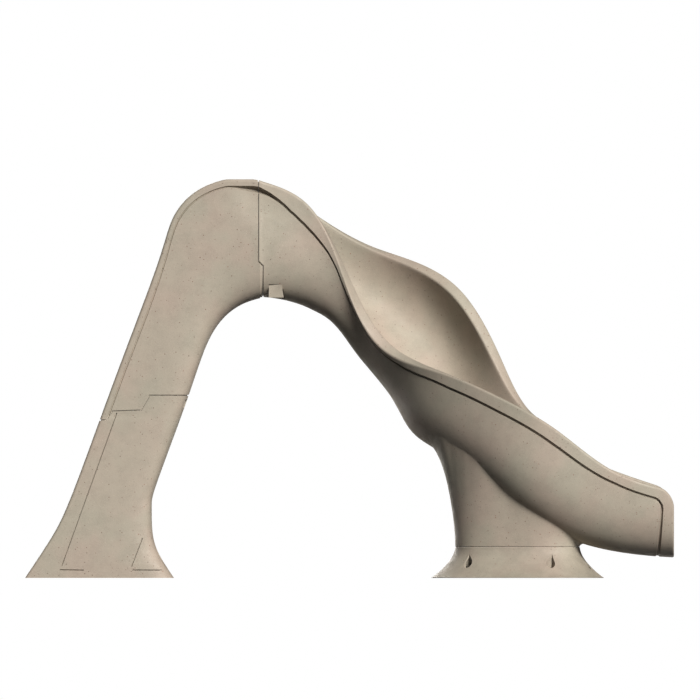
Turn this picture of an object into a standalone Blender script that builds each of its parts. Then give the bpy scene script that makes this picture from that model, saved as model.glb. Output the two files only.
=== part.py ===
"""Free-standing pool slide: moulded ladder in two halves, curved flume with its leg, and a flared base.

Metres, +Z up. +X runs from the ladder to the exit, and the flume turns towards -Y on its way down.
The origin is on the ground, under the middle of the slide.
Every moulding is a hollow shell that is lofted from U-shaped cross-sections, then cut along its seams.
"""
import bpy
import bmesh
import math
import numpy as np
from mathutils import Matrix, Vector

# ---------------------------------------------------------------- driving dimensions
WALL = 0.006                      # skin of the rotomoulded shells
GAP = 0.0003                      # clearance between pieces that touch
HALF_OUTER = 0.305                # half width of the ladder over its side walls
HALF_INNER = 0.235                # half width of the climbing space
LADDER_Y = 0.25                   # centre line of the ladder
TREAD_RISE = 0.265
TREAD_COUNT = 6                   # treads below the seat
TREAD_FALL = 0.0006               # each tread falls this little towards its lip
SEAT_Z = 1.86
TREAD_LIP = 0.09                  # how far a tread's lip lies behind the front edge
TREAD_ROOT = 0.24                 # how far the foot of a riser lies behind the front edge
SILL_Z = 0.05                     # low sill at the very foot of the climbing space
SEAT_FAN = (62.0, 70.0, 80.0, 90.0)     # degrees round the crown's pivot, along the seat
LADDER_INNER_POWER = 9.0          # how square the climbing space is in cross-section
LADDER_OUTER_POWER = 6.0
FAN_X, FAN_Z = -0.507, 1.20       # pivot of the cross-sections round the crown
CROWN_SEAM_X = -0.516
CROWN_SEAM_STEP = 0.026           # the crown seam jogs by this much, low down
CROWN_SEAM_STEP_Z = 1.78
RIM_WIDTH = 0.070                 # the double wall, from the trough's edge to the outside
LEG_SEAM_Z = 0.1756
LEG_CENTRE = (0.952, -0.240)
LEG_HALF = (0.352, 0.205)         # half length and half width of the leg's foot
LEG_TURN = math.radians(-12.0)
LEG_POWER = 2.8
FLARE = 0.132                     # how far the base spreads at the ground
FLANGE = 0.060                    # width of the flat foot flanges
BOLT_RADIUS = 0.006
HEAD_RADIUS = 0.011
HEAD_HEIGHT = 0.008
ANCHOR_FLOOR_Z = 0.040            # the bottom of each anchor pocket
ANCHOR_POCKET_RADIUS = 0.034
ANCHOR_OFFSET = 0.0485            # from the leg's outline out to the anchors' line
FLARE_POWER = 1.75
BOLT_CLEARANCE = 0.0066
WASHER_HEIGHT = 0.0025
INSERT_BORE = 0.0063
INSERT_RADIUS = 0.009
INSERT_FLANGE = 0.016
INSERT_HOLE_RADIUS = 0.0094
INSERT_BARREL = WALL - 0.0002     # the barrel stops just short of the seam
CROWN_BOLT_X = -0.458             # seat of the crown bolts' heads, in the flume's pockets
CROWN_BOLT_Z = 1.640
CROWN_BOLT_REACH = (0.150, 0.210)
CROWN_BOLT_LENGTH = 0.060
CROWN_POCKET_TOP = 1.663
CROWN_POCKET_INNER = 0.115        # from the ladder's centre line to the pockets' inner walls
CROWN_POCKET_SLANT = (-0.393, -0.352)   # x of the pockets' sloping wall, at its top and its foot
CROWN_POCKET_FOOT_Z = 1.50        # below the crown's underside, so the pockets are open there
CROWN_SEAM_LOW_X = CROWN_SEAM_X + CROWN_SEAM_STEP
VENT_RADIUS = 0.035               # drain and hose holes through the end walls
CROWN_VENT = (CROWN_SEAM_LOW_X, LADDER_Y, 1.70)
LADDER_SEAM_TOP_Z = 1.034         # the ladder seam's level stretch at the back
LADDER_POCKET = (-1.035, 0.10, 0.255, 0.045)    # front x, inner and outer reach, depth of a bolt pocket
LADDER_BOLT_X = -0.985            # crown and ladder bolts both stand in pairs, one pair to each side
LADDER_BOLT_Z = 1.010
LADDER_BOLT_REACH = (0.145, 0.215)
LADDER_BOLT_LENGTH = 0.050
PEDESTAL_BOLT_LENGTH = 0.034
PEDESTAL_BOLT_REACH = (0.24, 0.10)      # along and across the leg, from its middle
PEDESTAL_ANCHOR_REACH = (0.24, 0.225)     # along and across the leg, from its middle
PEDESTAL_DRAIN_RADIUS = 0.06
LADDER_ANCHOR_REAR = (-1.065, 0.20)     # x, and distance from the ladder's centre line
LADDER_ANCHOR_FRONT = (-1.725, 0.14)
OPEN_FOOT_Z = 0.012               # the feet are open underneath, up to above their flanges
FITTING_PLACE = (-1.35, LADDER_Y + HALF_OUTER, 0.32)      # the water inlet, in the ladder's far wall
FITTING_HOLE_RADIUS = 0.0150
VALVE_LENGTH = 0.0442
VALVE_BORE = 0.0075
NOZZLE_PLACE = (-0.62, LADDER_Y + HALF_INNER - 0.002, 1.985)      # the spray nozzle, in the trough's far wall
NOZZLE_HOLE_RADIUS = 0.0090
HOSE_RADIUS = 0.007
HOSE_HOLE = (-1.060, LADDER_Y, LADDER_SEAM_TOP_Z)
HOSE_HOLE_RADIUS = 0.030
ELBOW_RADIUS = 0.0075
ELBOW_BEND = 0.016                # radius of the elbow's middle line
ELBOW_DROP = 0.040                # from the nozzle's axis down to the elbow's lower end
HOSE_ROUTE = [(-1.350, 0.455, 0.325), (-1.325, 0.380, 0.400), (-1.250, 0.300, 0.620), (-1.130, 0.255, 0.880),
              (-1.060, 0.250, 1.034), (-1.000, 0.255, 1.180), (-0.890, 0.280, 1.420), (-0.775, 0.350, 1.610),
              (-0.700, 0.435, 1.690), (-0.650, 0.500, 1.760), (-0.628, 0.522, 1.840), (-0.620, 0.531, 1.900)]

# side outlines of the ladder: front (climbing) edge and back edge, both from the ground up
FRONT_EDGE = ((-1.838, 0.0), (-1.700, 0.210), (-1.585, 0.440), (-1.415, 0.895), (-1.079, 1.800),
              (-0.999, 2.042), (-0.873, 2.187), (-0.700, 2.257), (-0.560, 2.260), (-0.460, 2.240))
BACK_EDGE = ((-0.994, 0.0), (-1.062, 0.105), (-1.112, 0.235), (-1.120, 0.400), (-1.085, 0.555),
             (-0.920, 1.008), (-0.796, 1.348), (-0.665, 1.515), (-0.535, 1.577), (-0.460, 1.590))

# cross-sections of the flume, numbered 0 (crown seam) to 8 (exit): inner edges of the two rims
NEAR_RIM = ((-0.507, 0.015, 2.250), (-0.250, 0.040, 2.124), (-0.040, 0.040, 1.799), (0.190, 0.015, 1.372),
            (0.540, -0.215, 1.164), (0.905, -0.450, 0.995), (1.190, -0.540, 0.822), (1.485, -0.525, 0.611),
            (1.838, -0.460, 0.493))
FAR_RIM = ((-0.507, 0.485, 2.250), (-0.290, 0.515, 2.128), (0.105, 0.480, 1.871), (0.576, 0.275, 1.606),
           (0.880, 0.115, 1.091), (1.080, -0.030, 0.893), (1.215, -0.075, 0.769), (1.440, -0.060, 0.646),
           (1.838, 0.005, 0.493))
FLUME_PITCH = (0.0, 19.5, 17.8, 31.2, 38.9, 38.0, 32.0, 21.0, 0.0)      # degrees, section leans back
FLUME_OUTER_DEPTH = (0.665, 0.570, 0.407, 0.501, 0.473, 0.450, 0.470, 0.450, 0.377)
FLUME_INNER_DEPTH = (0.390, 0.380, 0.310, 0.330, 0.350, 0.350, 0.345, 0.330, 0.300)
FLUME_OUTER_POWER = (6.0, 4.5, 3.0, 2.6, 2.6, 2.6, 2.7, 2.8, 3.0)
FLUME_INNER_POWER = (8.0, 4.5, 2.8, 2.4, 2.4, 2.4, 2.4, 2.4, 2.4)
FLUME_SECTIONS = 24               # lofted sections from the crown seam to the exit
LEG_ROWS = (13, 20)               # the leg grows out of the belly between these sections
LEG_COLUMNS = (3, 9)              # and between these points of the outside, from the far rim
LEG_RINGS = 6
SIDE_POINTS = 13                  # points across the trough, and as many round the outside

SAND = (0.50, 0.44, 0.36, 1.0)
SAND_DARK = (0.40, 0.35, 0.29, 1.0)
STEEL = (0.62, 0.62, 0.60, 1.0)
BRASS = (0.72, 0.52, 0.22, 1.0)
RUBBER = (0.04, 0.04, 0.04, 1.0)
GREY_PLASTIC = (0.16, 0.17, 0.18, 1.0)
BLUE_PLASTIC = (0.06, 0.18, 0.42, 1.0)


# ---------------------------------------------------------------- scene helpers
def clear_scene():
    for item in list(bpy.data.objects):
        bpy.data.objects.remove(item, do_unlink=True)


def new_collection(name):
    collection = bpy.data.collections.new(name)
    bpy.context.scene.collection.children.link(collection)
    return collection


def material(name, colour, roughness, metallic=0.0):
    made = bpy.data.materials.new(name)
    made.use_nodes = True
    shader = made.node_tree.nodes["Principled BSDF"]
    shader.inputs["Base Color"].default_value = colour
    shader.inputs["Roughness"].default_value = roughness
    shader.inputs["Metallic"].default_value = metallic
    return made


def object_from_bmesh(name, shape, collection, finish=None, smooth_angle=None):
    bmesh.ops.recalc_face_normals(shape, faces=shape.faces)
    mesh = bpy.data.meshes.new(name)
    shape.to_mesh(mesh)
    shape.free()
    if smooth_angle is not None:
        mesh.shade_smooth()
        mesh.set_sharp_from_angle(angle=math.radians(smooth_angle))
    if finish is not None:
        mesh.materials.append(finish)
    made = bpy.data.objects.new(name, mesh)
    collection.objects.link(made)
    return made


def as_cutter(made):
    made.display_type = 'WIRE'
    made.hide_render = True
    return made


def cut(target, cutter, operation='DIFFERENCE'):
    modifier = target.modifiers.new("cut_" + cutter.name, 'BOOLEAN')
    modifier.operation = operation
    modifier.object = cutter
    modifier.solver = 'EXACT'


def add_cylinder(shape, centre, radius, length, axis='Z', sides=12):
    """A closed cylinder, centred on a point, along X, Y or Z; its flats are at the radius."""
    corner = radius / math.cos(math.pi / sides)
    turn = {'X': Matrix.Rotation(math.pi / 2, 4, 'Y'),
            'Y': Matrix.Rotation(math.pi / 2, 4, 'X'),
            'Z': Matrix.Identity(4)}[axis]
    bmesh.ops.create_cone(shape, cap_ends=True, segments=sides, radius1=corner, radius2=corner,
                          depth=length, matrix=Matrix.Translation(centre) @ turn)


def add_box(shape, low, high):
    low = Vector(low)
    high = Vector(high)
    size = high - low
    place = Matrix.Translation((low + high) / 2) @ Matrix.Diagonal((size.x, size.y, size.z, 1.0))
    bmesh.ops.create_cube(shape, size=1.0, matrix=place)


def add_prism(shape, outline, low_y, high_y):
    """A closed prism: an outline of (x, z) points, drawn out along Y."""
    near = [shape.verts.new((x, low_y, z)) for x, z in outline]
    far = [shape.verts.new((x, high_y, z)) for x, z in outline]
    shape.faces.new(near)
    shape.faces.new(far[::-1])
    for k in range(len(outline)):
        after = (k + 1) % len(outline)
        shape.faces.new((near[k], far[k], far[after], near[after]))


# ---------------------------------------------------------------- curves
def cubic(values, first_slope=None, last_slope=None):
    """The cubic spline through values at 0, 1, 2 ... as a function; an end is natural without a slope."""
    v = np.asarray(values, float)
    count = len(v)
    system = np.zeros((count, count))
    right = np.zeros(count)
    for i in range(1, count - 1):
        system[i, i - 1:i + 2] = (1.0, 4.0, 1.0)
        right[i] = 6.0 * (v[i + 1] - 2.0 * v[i] + v[i - 1])
    system[0, 0] = 1.0
    system[-1, -1] = 1.0
    if first_slope is not None:
        system[0, :2] = (2.0, 1.0)
        right[0] = 6.0 * (v[1] - v[0] - first_slope)
    if last_slope is not None:
        system[-1, -2:] = (1.0, 2.0)
        right[-1] = 6.0 * (last_slope - v[-1] + v[-2])
    bend = np.linalg.solve(system, right)

    def at(t, slope=False):
        i = int(min(max(math.floor(t), 0), count - 2))
        s = t - i
        r = 1.0 - s
        if slope:
            return v[i + 1] - v[i] + ((3 * s * s - 1) * bend[i + 1] - (3 * r * r - 1) * bend[i]) / 6.0
        return r * v[i] + s * v[i + 1] + ((r ** 3 - r) * bend[i] + (s ** 3 - s) * bend[i + 1]) / 6.0
    return at


def edge_samples(points, per_span=24):
    """Points along the smooth curve through an outline, spaced evenly in each span."""
    x_of = cubic([p[0] for p in points])
    z_of = cubic([p[1] for p in points])
    steps = np.linspace(0.0, len(points) - 1, per_span * (len(points) - 1) + 1)
    return np.array([(x_of(t), z_of(t)) for t in steps])


FRONT = edge_samples(FRONT_EDGE)
BACK = edge_samples(BACK_EDGE)


def edge_x(samples, z):
    """x of an outline at height z, below the crown."""
    low = samples[samples[:, 1] < FAN_Z + 0.3]
    return float(np.interp(z, low[:, 1], low[:, 0]))


def edge_reach(samples, angle):
    """Distance from the crown's pivot to an outline, at an angle up from the -X direction."""
    run = FAN_X - samples[:, 0]
    rise = samples[:, 1] - FAN_Z
    around = np.arctan2(rise, run)
    keep = around > -0.2
    order = np.argsort(around[keep])
    return float(np.interp(angle, around[keep][order], np.hypot(run, rise)[keep][order]))


# ---------------------------------------------------------------- cross-sections
def bow(half_width, depth, power, count):
    """Points (across, up) of a U from its near top to its far top, through its bottom."""
    points = []
    for k in range(count):
        angle = math.pi * k / (count - 1)
        across = -math.copysign(abs(math.cos(angle)) ** (2.0 / power), math.cos(angle))
        down = max(math.sin(angle), 0.0) ** (2.0 / power)
        points.append((half_width * across, -depth * down))
    return points


def section(origin, across, up, inner, outer, inset):
    """One closed loop of the double-walled U, as points in space: the trough, then the outside.

    inner and outer are (half width, depth, power). An inset gives the hollow inside the wall.
    """
    trough = bow(inner[0] + inset, inner[1], inner[2], SIDE_POINTS)
    outside = bow(outer[0] - inset, outer[1] - 2.0 * inset, outer[2], SIDE_POINTS)
    start = origin - up * inset
    return [start + across * a + up * u for a, u in trough + outside[::-1]]


def ladder_floor():
    """The climbing surface, as (x, z) points from the sill up to the seat, in the side view."""
    profile = [(edge_x(FRONT, SILL_Z) + 0.012, SILL_Z), (edge_x(FRONT, SILL_Z) + TREAD_ROOT, SILL_Z + TREAD_FALL)]
    for step in range(1, TREAD_COUNT + 2):
        z = SEAT_Z if step > TREAD_COUNT else step * TREAD_RISE
        front = edge_x(FRONT_LONG, z)
        profile.append((front + TREAD_LIP, z))
        if step <= TREAD_COUNT:
            profile.append((front + TREAD_ROOT, z + TREAD_FALL))
    return profile


FRONT_LONG = FRONT[FRONT[:, 1] < 2.0]


def ladder_sections(inset):
    """Loops from the ground up to the crown seam: level slices first, then a fan round the pivot."""
    across = Vector((0.0, 1.0, 0.0))
    loops = []
    floor = ladder_floor()
    levels = [(inset, edge_x(FRONT, 0.0) + 0.012)]
    levels += [(z - inset, x) for x, z in floor if z <= FAN_Z]
    for z, floor_x in levels:
        front = edge_x(FRONT, z)
        origin = Vector((front, LADDER_Y, z))
        depth = edge_x(BACK, z) - front
        loops.append(section(origin, across, Vector((-1.0, 0.0, 0.0)),
                             (HALF_INNER, floor_x - front, LADDER_INNER_POWER),
                             (HALF_OUTER, depth, LADDER_OUTER_POWER), inset))
    corners = [(FAN_X - x - inset, z - FAN_Z - inset) for x, z in floor if z > FAN_Z]
    turning = [(math.atan2(rise, run), math.hypot(run, rise)) for run, rise in corners]
    seat_rise = SEAT_Z - FAN_Z - inset
    turning += [(math.radians(a), seat_rise / math.sin(math.radians(a))) for a in SEAT_FAN]
    for angle, floor_reach in turning:
        outward = Vector((-math.cos(angle), 0.0, math.sin(angle)))
        reach = edge_reach(FRONT, angle)
        depth = reach - edge_reach(BACK, angle)
        origin = Vector((FAN_X, LADDER_Y, FAN_Z)) + outward * reach
        loops.append(section(origin, across, outward,
                             (HALF_INNER, reach - inset - floor_reach, LADDER_INNER_POWER),
                             (HALF_OUTER, depth, LADDER_OUTER_POWER), inset))
    return loops


def rim_curves(points):
    return [cubic([p[axis] for p in points]) for axis in range(3)]


NEAR_CURVE = rim_curves(NEAR_RIM)
FAR_CURVE = rim_curves(FAR_RIM)
PITCH = cubic(FLUME_PITCH)
OUTER_DEPTH = cubic(FLUME_OUTER_DEPTH)
INNER_DEPTH = cubic(FLUME_INNER_DEPTH)
OUTER_POWER = cubic(FLUME_OUTER_POWER)
INNER_POWER = cubic(FLUME_INNER_POWER)
LAST_STATION = len(NEAR_RIM) - 1


def flume_section(t, inset):
    """Loop of the flume at station t, which need not be a whole number."""
    near = Vector([curve(t) for curve in NEAR_CURVE])
    far = Vector([curve(t) for curve in FAR_CURVE])
    ahead = [a(t, slope=True) + b(t, slope=True) for a, b in zip(NEAR_CURVE, FAR_CURVE)]
    heading = math.atan2(ahead[1], ahead[0])
    if t == 0.0:
        heading = 0.0
    pitch = math.radians(PITCH(t))
    across = (far - near).normalized()
    lean = Vector((math.sin(pitch) * math.cos(heading), math.sin(pitch) * math.sin(heading), math.cos(pitch)))
    up = (lean - across * lean.dot(across)).normalized()
    half = (far - near).length / 2.0
    middle = (near + far) / 2.0
    if t == LAST_STATION:
        middle.x -= inset
    return section(middle, across, up,
                   (half, INNER_DEPTH(t), INNER_POWER(t)),
                   (half + RIM_WIDTH, OUTER_DEPTH(t), OUTER_POWER(t)), inset)


def leg_outline(z, spread=0.0, points=28):
    """A level ring of the leg or base: a rounded rectangle, spread outwards by a distance."""
    return [leg_point(2.0 * math.pi * k / points, z, spread) for k in range(points)]


def leg_point(angle, z, spread=0.0):
    half_length = LEG_HALF[0] + spread
    half_width = LEG_HALF[1] + spread
    along = math.copysign(abs(math.cos(angle)) ** (2.0 / LEG_POWER), math.cos(angle)) * half_length
    aside = math.copysign(abs(math.sin(angle)) ** (2.0 / LEG_POWER), math.sin(angle)) * half_width
    turn = Matrix.Rotation(LEG_TURN, 2)
    place = turn @ Vector((along, aside))
    return Vector((LEG_CENTRE[0] + place.x, LEG_CENTRE[1] + place.y, z))


def leg_angle(point):
    """The angle parameter of the leg's outline that faces a point."""
    back = Matrix.Rotation(-LEG_TURN, 2) @ Vector((point.x - LEG_CENTRE[0], point.y - LEG_CENTRE[1]))
    return math.atan2(back.y / LEG_HALF[1], back.x / LEG_HALF[0])


# ---------------------------------------------------------------- mouldings
def quads_between(shape, low, high, skip=()):
    """Faces between two rings of vertices; skip holds the first indices of the faces left out."""
    count = len(low)
    for k in range(count):
        after = (k + 1) % count
        if k not in skip:
            shape.faces.new((low[k], low[after], high[after], high[k]))


def band_cap(shape, ring):
    """Close a U-shaped end: the trough's points face the outside's points across the wall."""
    count = len(ring)
    for k in range(count // 2 - 1):
        shape.faces.new((ring[k], ring[k + 1], ring[count - 2 - k], ring[count - 1 - k]))


def slide_shape(inset=0.0):
    """The whole ladder, flume and leg as one solid, or the hollow inside it for an inset."""
    shape = bmesh.new()
    ladder = ladder_sections(inset)
    spacing = LAST_STATION / (FLUME_SECTIONS - 1)
    flume = [flume_section(spacing * k, inset) for k in range(1, FLUME_SECTIONS)]
    rings = [[shape.verts.new(p) for p in loop] for loop in ladder + flume]
    first = len(ladder) - 1 + LEG_ROWS[0]
    last = len(ladder) - 1 + LEG_ROWS[1]
    columns = range(SIDE_POINTS + LEG_COLUMNS[0], SIDE_POINTS + LEG_COLUMNS[1] + 1)
    for row in range(len(rings) - 1):
        skip = columns[:-1] if first <= row < last else ()
        quads_between(shape, rings[row], rings[row + 1], skip)
    band_cap(shape, rings[0])
    band_cap(shape, rings[-1])
    add_leg(shape, rings, first, last, columns, inset)
    return shape


def add_leg(shape, rings, first, last, columns, inset):
    """Blend the hole that was left in the belly down to the leg's foot."""
    border = [(row, columns[0]) for row in range(first, last)]
    border += [(last, column) for column in columns[:-1]]
    border += [(row, columns[-1]) for row in range(last, first, -1)]
    border += [(first, column) for column in columns[:0:-1]]
    starts = []
    for row, column in border:
        inward = Vector((0.0, 0.0, 0.0))
        here = rings[row][column].co
        if row == first:
            inward += (rings[row + 1][column].co - here).normalized()
        if row == last:
            inward += (rings[row - 1][column].co - here).normalized()
        if column == columns[0]:
            inward += (rings[row][column + 1].co - here).normalized()
        if column == columns[-1]:
            inward += (rings[row][column - 1].co - here).normalized()
        starts.append((rings[row][column], inward.normalized()))
    previous = [vertex for vertex, inward in starts]
    for step in range(1, LEG_RINGS + 1):
        s = step / LEG_RINGS
        ring = []
        for vertex, inward in starts:
            foot = leg_point(leg_angle(vertex.co), LEG_SEAM_Z + inset, -inset)
            reach = (foot - vertex.co).length
            ring.append(shape.verts.new(hermite(s, vertex.co, inward * reach * 0.7, foot,
                                                Vector((0.0, 0.0, -1.0)) * reach * 0.9)))
        quads_between(shape, previous, ring)
        previous = ring
    shape.faces.new(previous)


def hermite(s, start, leaving, end, arriving):
    s2 = s * s
    s3 = s2 * s
    return (start * (2 * s3 - 3 * s2 + 1) + leaving * (s3 - 2 * s2 + s)
            + end * (3 * s2 - 2 * s3) + arriving * (s3 - s2))


def ladder_seam(offset):
    """The stepped seam between the ladder's halves, from the front edge to the back, as (x, z)."""
    steps = ((-2.2, 0.894), (-1.380, 0.894), (-1.343, 0.944), (-1.181, 0.950),
             (-1.132, LADDER_SEAM_TOP_Z), (-0.80, LADDER_SEAM_TOP_Z))
    return [(x, z + offset) for x, z in steps]


def crown_seam(offset):
    """The jogged seam between the ladder and the flume, from the top down, as (x, z)."""
    steps = ((CROWN_SEAM_X, 2.6), (CROWN_SEAM_X, CROWN_SEAM_STEP_Z + 0.014),
             (CROWN_SEAM_LOW_X, CROWN_SEAM_STEP_Z - 0.012), (CROWN_SEAM_LOW_X, -0.5))
    return [(x + offset, z) for x, z in steps]


def prism_cutter(name, outline, collection, low_y=-1.2, high_y=1.2):
    shape = bmesh.new()
    add_prism(shape, outline, low_y, high_y)
    return as_cutter(object_from_bmesh(name, shape, collection))


def box_shape(boxes, cylinders=()):
    """Boxes (low, high) and cylinders (centre, radius, length, axis) as one mesh of separate bodies."""
    shape = bmesh.new()
    for low, high in boxes:
        add_box(shape, low, high)
    for centre, radius, length, axis in cylinders:
        add_cylinder(shape, centre, radius, length, axis)
    return shape


def crown_bolt_places():
    return [(CROWN_BOLT_X, LADDER_Y + side * reach, CROWN_BOLT_Z)
            for side in (-1.0, 1.0) for reach in CROWN_BOLT_REACH]


def ladder_bolt_places():
    return [(LADDER_BOLT_X, LADDER_Y + side * reach, LADDER_BOLT_Z)
            for side in (-1.0, 1.0) for reach in LADDER_BOLT_REACH]


def leg_frame_place(along, aside, z):
    turned = Matrix.Rotation(LEG_TURN, 2) @ Vector((along, aside))
    return (LEG_CENTRE[0] + turned.x, LEG_CENTRE[1] + turned.y, z)


def pedestal_bolt_places():
    along, aside = PEDESTAL_BOLT_REACH
    return [leg_frame_place(a, b, LEG_SEAM_Z - WALL - GAP) for a in (-along, along) for b in (-aside, aside)]


def pedestal_anchor_places():
    end = LEG_HALF[0] + ANCHOR_OFFSET
    reach, side = PEDESTAL_ANCHOR_REACH
    spots = [(-reach, -side), (reach, -side), (-reach, side), (reach, side), (-end, 0.0), (end, 0.0)]
    return [leg_frame_place(a, b, ANCHOR_FLOOR_Z) for a, b in spots]


def ladder_anchor_places():
    places = []
    for (x, reach), z in ((LADDER_ANCHOR_REAR, ANCHOR_FLOOR_Z), (LADDER_ANCHOR_FRONT, SILL_Z + TREAD_FALL)):
        places += [(x, LADDER_Y + side * reach, z) for side in (-1.0, 1.0)]
    return places


def seam_cutters(offset, cutters):
    """Prisms that take away everything beyond each seam; a larger offset cuts further into the piece."""
    word = "wall" if offset > GAP else "seam"
    right = [(2.4, -0.5), (2.4, 2.6)]
    above = [(-0.80, -0.5), (2.4, -0.5), (2.4, 2.6), (-2.2, 2.6)]
    below = [(-0.80, -0.5), (-2.2, -0.5)]
    left = [(-2.2, -0.5), (-2.2, 2.6)]
    cut_above = prism_cutter(word + "_above_ladder", ladder_seam(-offset) + above, cutters)
    cut_below = prism_cutter(word + "_below_ladder", ladder_seam(offset) + below, cutters)
    cut_right = prism_cutter(word + "_right_of_crown", crown_seam(-offset) + right, cutters)
    cut_left = prism_cutter(word + "_left_of_crown", crown_seam(offset) + left, cutters)
    return {"ladder_lower": (cut_above,), "ladder_upper": (cut_below, cut_right), "flume": (cut_left,)}


def make_mouldings(parts, cutters):
    plastic = material("sandstone_plastic", SAND, 0.62)
    darker = material("sandstone_plastic_base", SAND_DARK, 0.62)
    solid = object_from_bmesh("slide_solid", slide_shape(), cutters, plastic, smooth_angle=40.0)
    hollow = object_from_bmesh("slide_hollow", slide_shape(WALL), cutters)
    seams = seam_cutters(GAP / 2, cutters)
    walls = seam_cutters(WALL, cutters)
    pockets = {"ladder_lower": ladder_pockets, "flume": crown_pockets}
    holes = {"ladder_lower": ladder_lower_holes, "ladder_upper": ladder_upper_holes, "flume": flume_holes}
    for name in ("ladder_lower", "ladder_upper", "flume"):
        piece = bpy.data.objects.new(name, solid.data.copy())
        parts.objects.link(piece)
        cavity = as_cutter(bpy.data.objects.new(name + "_cavity", hollow.data.copy()))
        cutters.objects.link(cavity)
        for seam, wall in zip(seams[name], walls[name]):
            cut(piece, seam)
            cut(cavity, wall)
        if name in pockets:
            cut(piece, shape_cutter(name + "_pockets", pockets[name](0.0), cutters))
            cut(cavity, shape_cutter(name + "_pocket_walls", pockets[name](WALL), cutters))
        cut(piece, cavity)
        cut(piece, shape_cutter(name + "_holes", holes[name](), cutters))
    bpy.data.objects.remove(solid, do_unlink=True)
    bpy.data.objects.remove(hollow, do_unlink=True)
    make_pedestal(parts, cutters, darker)


def shape_cutter(name, shape, cutters):
    return as_cutter(object_from_bmesh(name, shape, cutters))


def crown_pockets(grow):
    """Two pockets in the flume's underside, where the crown bolts are reached."""
    shape = bmesh.new()
    left = CROWN_BOLT_X - grow
    top = CROWN_POCKET_TOP + grow
    right_top, right_foot = CROWN_POCKET_SLANT
    outline = [(left, top), (right_top + grow, top), (right_foot + grow, CROWN_POCKET_FOOT_Z),
               (left, CROWN_POCKET_FOOT_Z)]
    inner = CROWN_POCKET_INNER - grow
    add_prism(shape, outline, LADDER_Y - 0.40, LADDER_Y - inner)
    add_prism(shape, outline, LADDER_Y + inner, LADDER_Y + 0.40)
    return shape


def ladder_pockets(grow):
    """Two bolt pockets under the ladder seam and two anchor pockets in the heel."""
    front_x, inner, outer, depth = LADDER_POCKET
    boxes = []
    for side in (-1.0, 1.0):
        ends = sorted((LADDER_Y + side * (inner - grow), LADDER_Y + side * (outer + grow)))
        boxes.append(((front_x - grow, ends[0], LADDER_BOLT_Z - depth - grow),
                      (front_x + 0.235, ends[1], LADDER_BOLT_Z + grow)))
    cylinders = []
    for x, y, z in ladder_anchor_places()[:2]:
        cylinders.append(((x, y, z + 0.15 - grow), ANCHOR_POCKET_RADIUS + grow, 0.30, 'Z'))
    return box_shape(boxes, cylinders)


def ladder_lower_holes():
    boxes = [((FRONT_EDGE[0][0] + FLANGE, LADDER_Y - HALF_OUTER + FLANGE, -0.05),
              (BACK_EDGE[0][0] - FLANGE, LADDER_Y + HALF_OUTER - FLANGE, OPEN_FOOT_Z))]
    cylinders = [((x, y, z + 0.015), BOLT_CLEARANCE, 0.03, 'Z') for x, y, z in ladder_bolt_places()]
    cylinders += [((x, y, z), BOLT_CLEARANCE, 0.02, 'Z') for x, y, z in ladder_anchor_places()]
    cylinders.append((HOSE_HOLE, HOSE_HOLE_RADIUS, 0.06, 'Z'))
    cylinders.append((FITTING_PLACE, FITTING_HOLE_RADIUS, 0.06, 'Y'))
    return box_shape(boxes, cylinders)


def ladder_upper_holes():
    cylinders = [((x, y, LADDER_SEAM_TOP_Z), INSERT_HOLE_RADIUS, 0.05, 'Z') for x, y, z in ladder_bolt_places()]
    cylinders += [((CROWN_SEAM_LOW_X, y, z), INSERT_HOLE_RADIUS, 0.05, 'X') for x, y, z in crown_bolt_places()]
    cylinders.append((HOSE_HOLE, HOSE_HOLE_RADIUS, 0.06, 'Z'))
    cylinders.append((CROWN_VENT, VENT_RADIUS, 0.06, 'X'))
    cylinders.append((NOZZLE_PLACE, NOZZLE_HOLE_RADIUS, 0.04, 'Y'))
    return box_shape((), cylinders)


def flume_holes():
    cylinders = [((x, y, z), BOLT_CLEARANCE, 0.12, 'X') for x, y, z in crown_bolt_places()]
    cylinders.append((CROWN_VENT, VENT_RADIUS, 0.06, 'X'))
    cylinders += [((x, y, LEG_SEAM_Z), INSERT_HOLE_RADIUS, 0.05, 'Z') for x, y, z in pedestal_bolt_places()]
    cylinders.append(((*LEG_CENTRE, LEG_SEAM_Z), PEDESTAL_DRAIN_RADIUS, 0.06, 'Z'))
    return box_shape((), cylinders)


def pedestal_shape(inset=0.0):
    """The flared base as a solid, or the hollow inside it for an inset."""
    shape = bmesh.new()
    top = LEG_SEAM_Z - GAP
    rings = []
    for drop in (0.0, 0.2, 0.4, 0.6, 0.75, 0.87, 0.96):
        spread = FLARE * drop ** FLARE_POWER - inset * (1.0 + 0.6 * drop)
        rings.append([shape.verts.new(p) for p in leg_outline(top * (1.0 - drop) - inset * (1.0 - drop), spread)])
    spread = FLARE - inset * 1.6
    rings.append([shape.verts.new(p) for p in leg_outline(inset, spread)])
    for low, high in zip(rings, rings[1:]):
        quads_between(shape, low, high)
    shape.faces.new(rings[0])
    shape.faces.new(rings[-1])
    return shape


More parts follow.
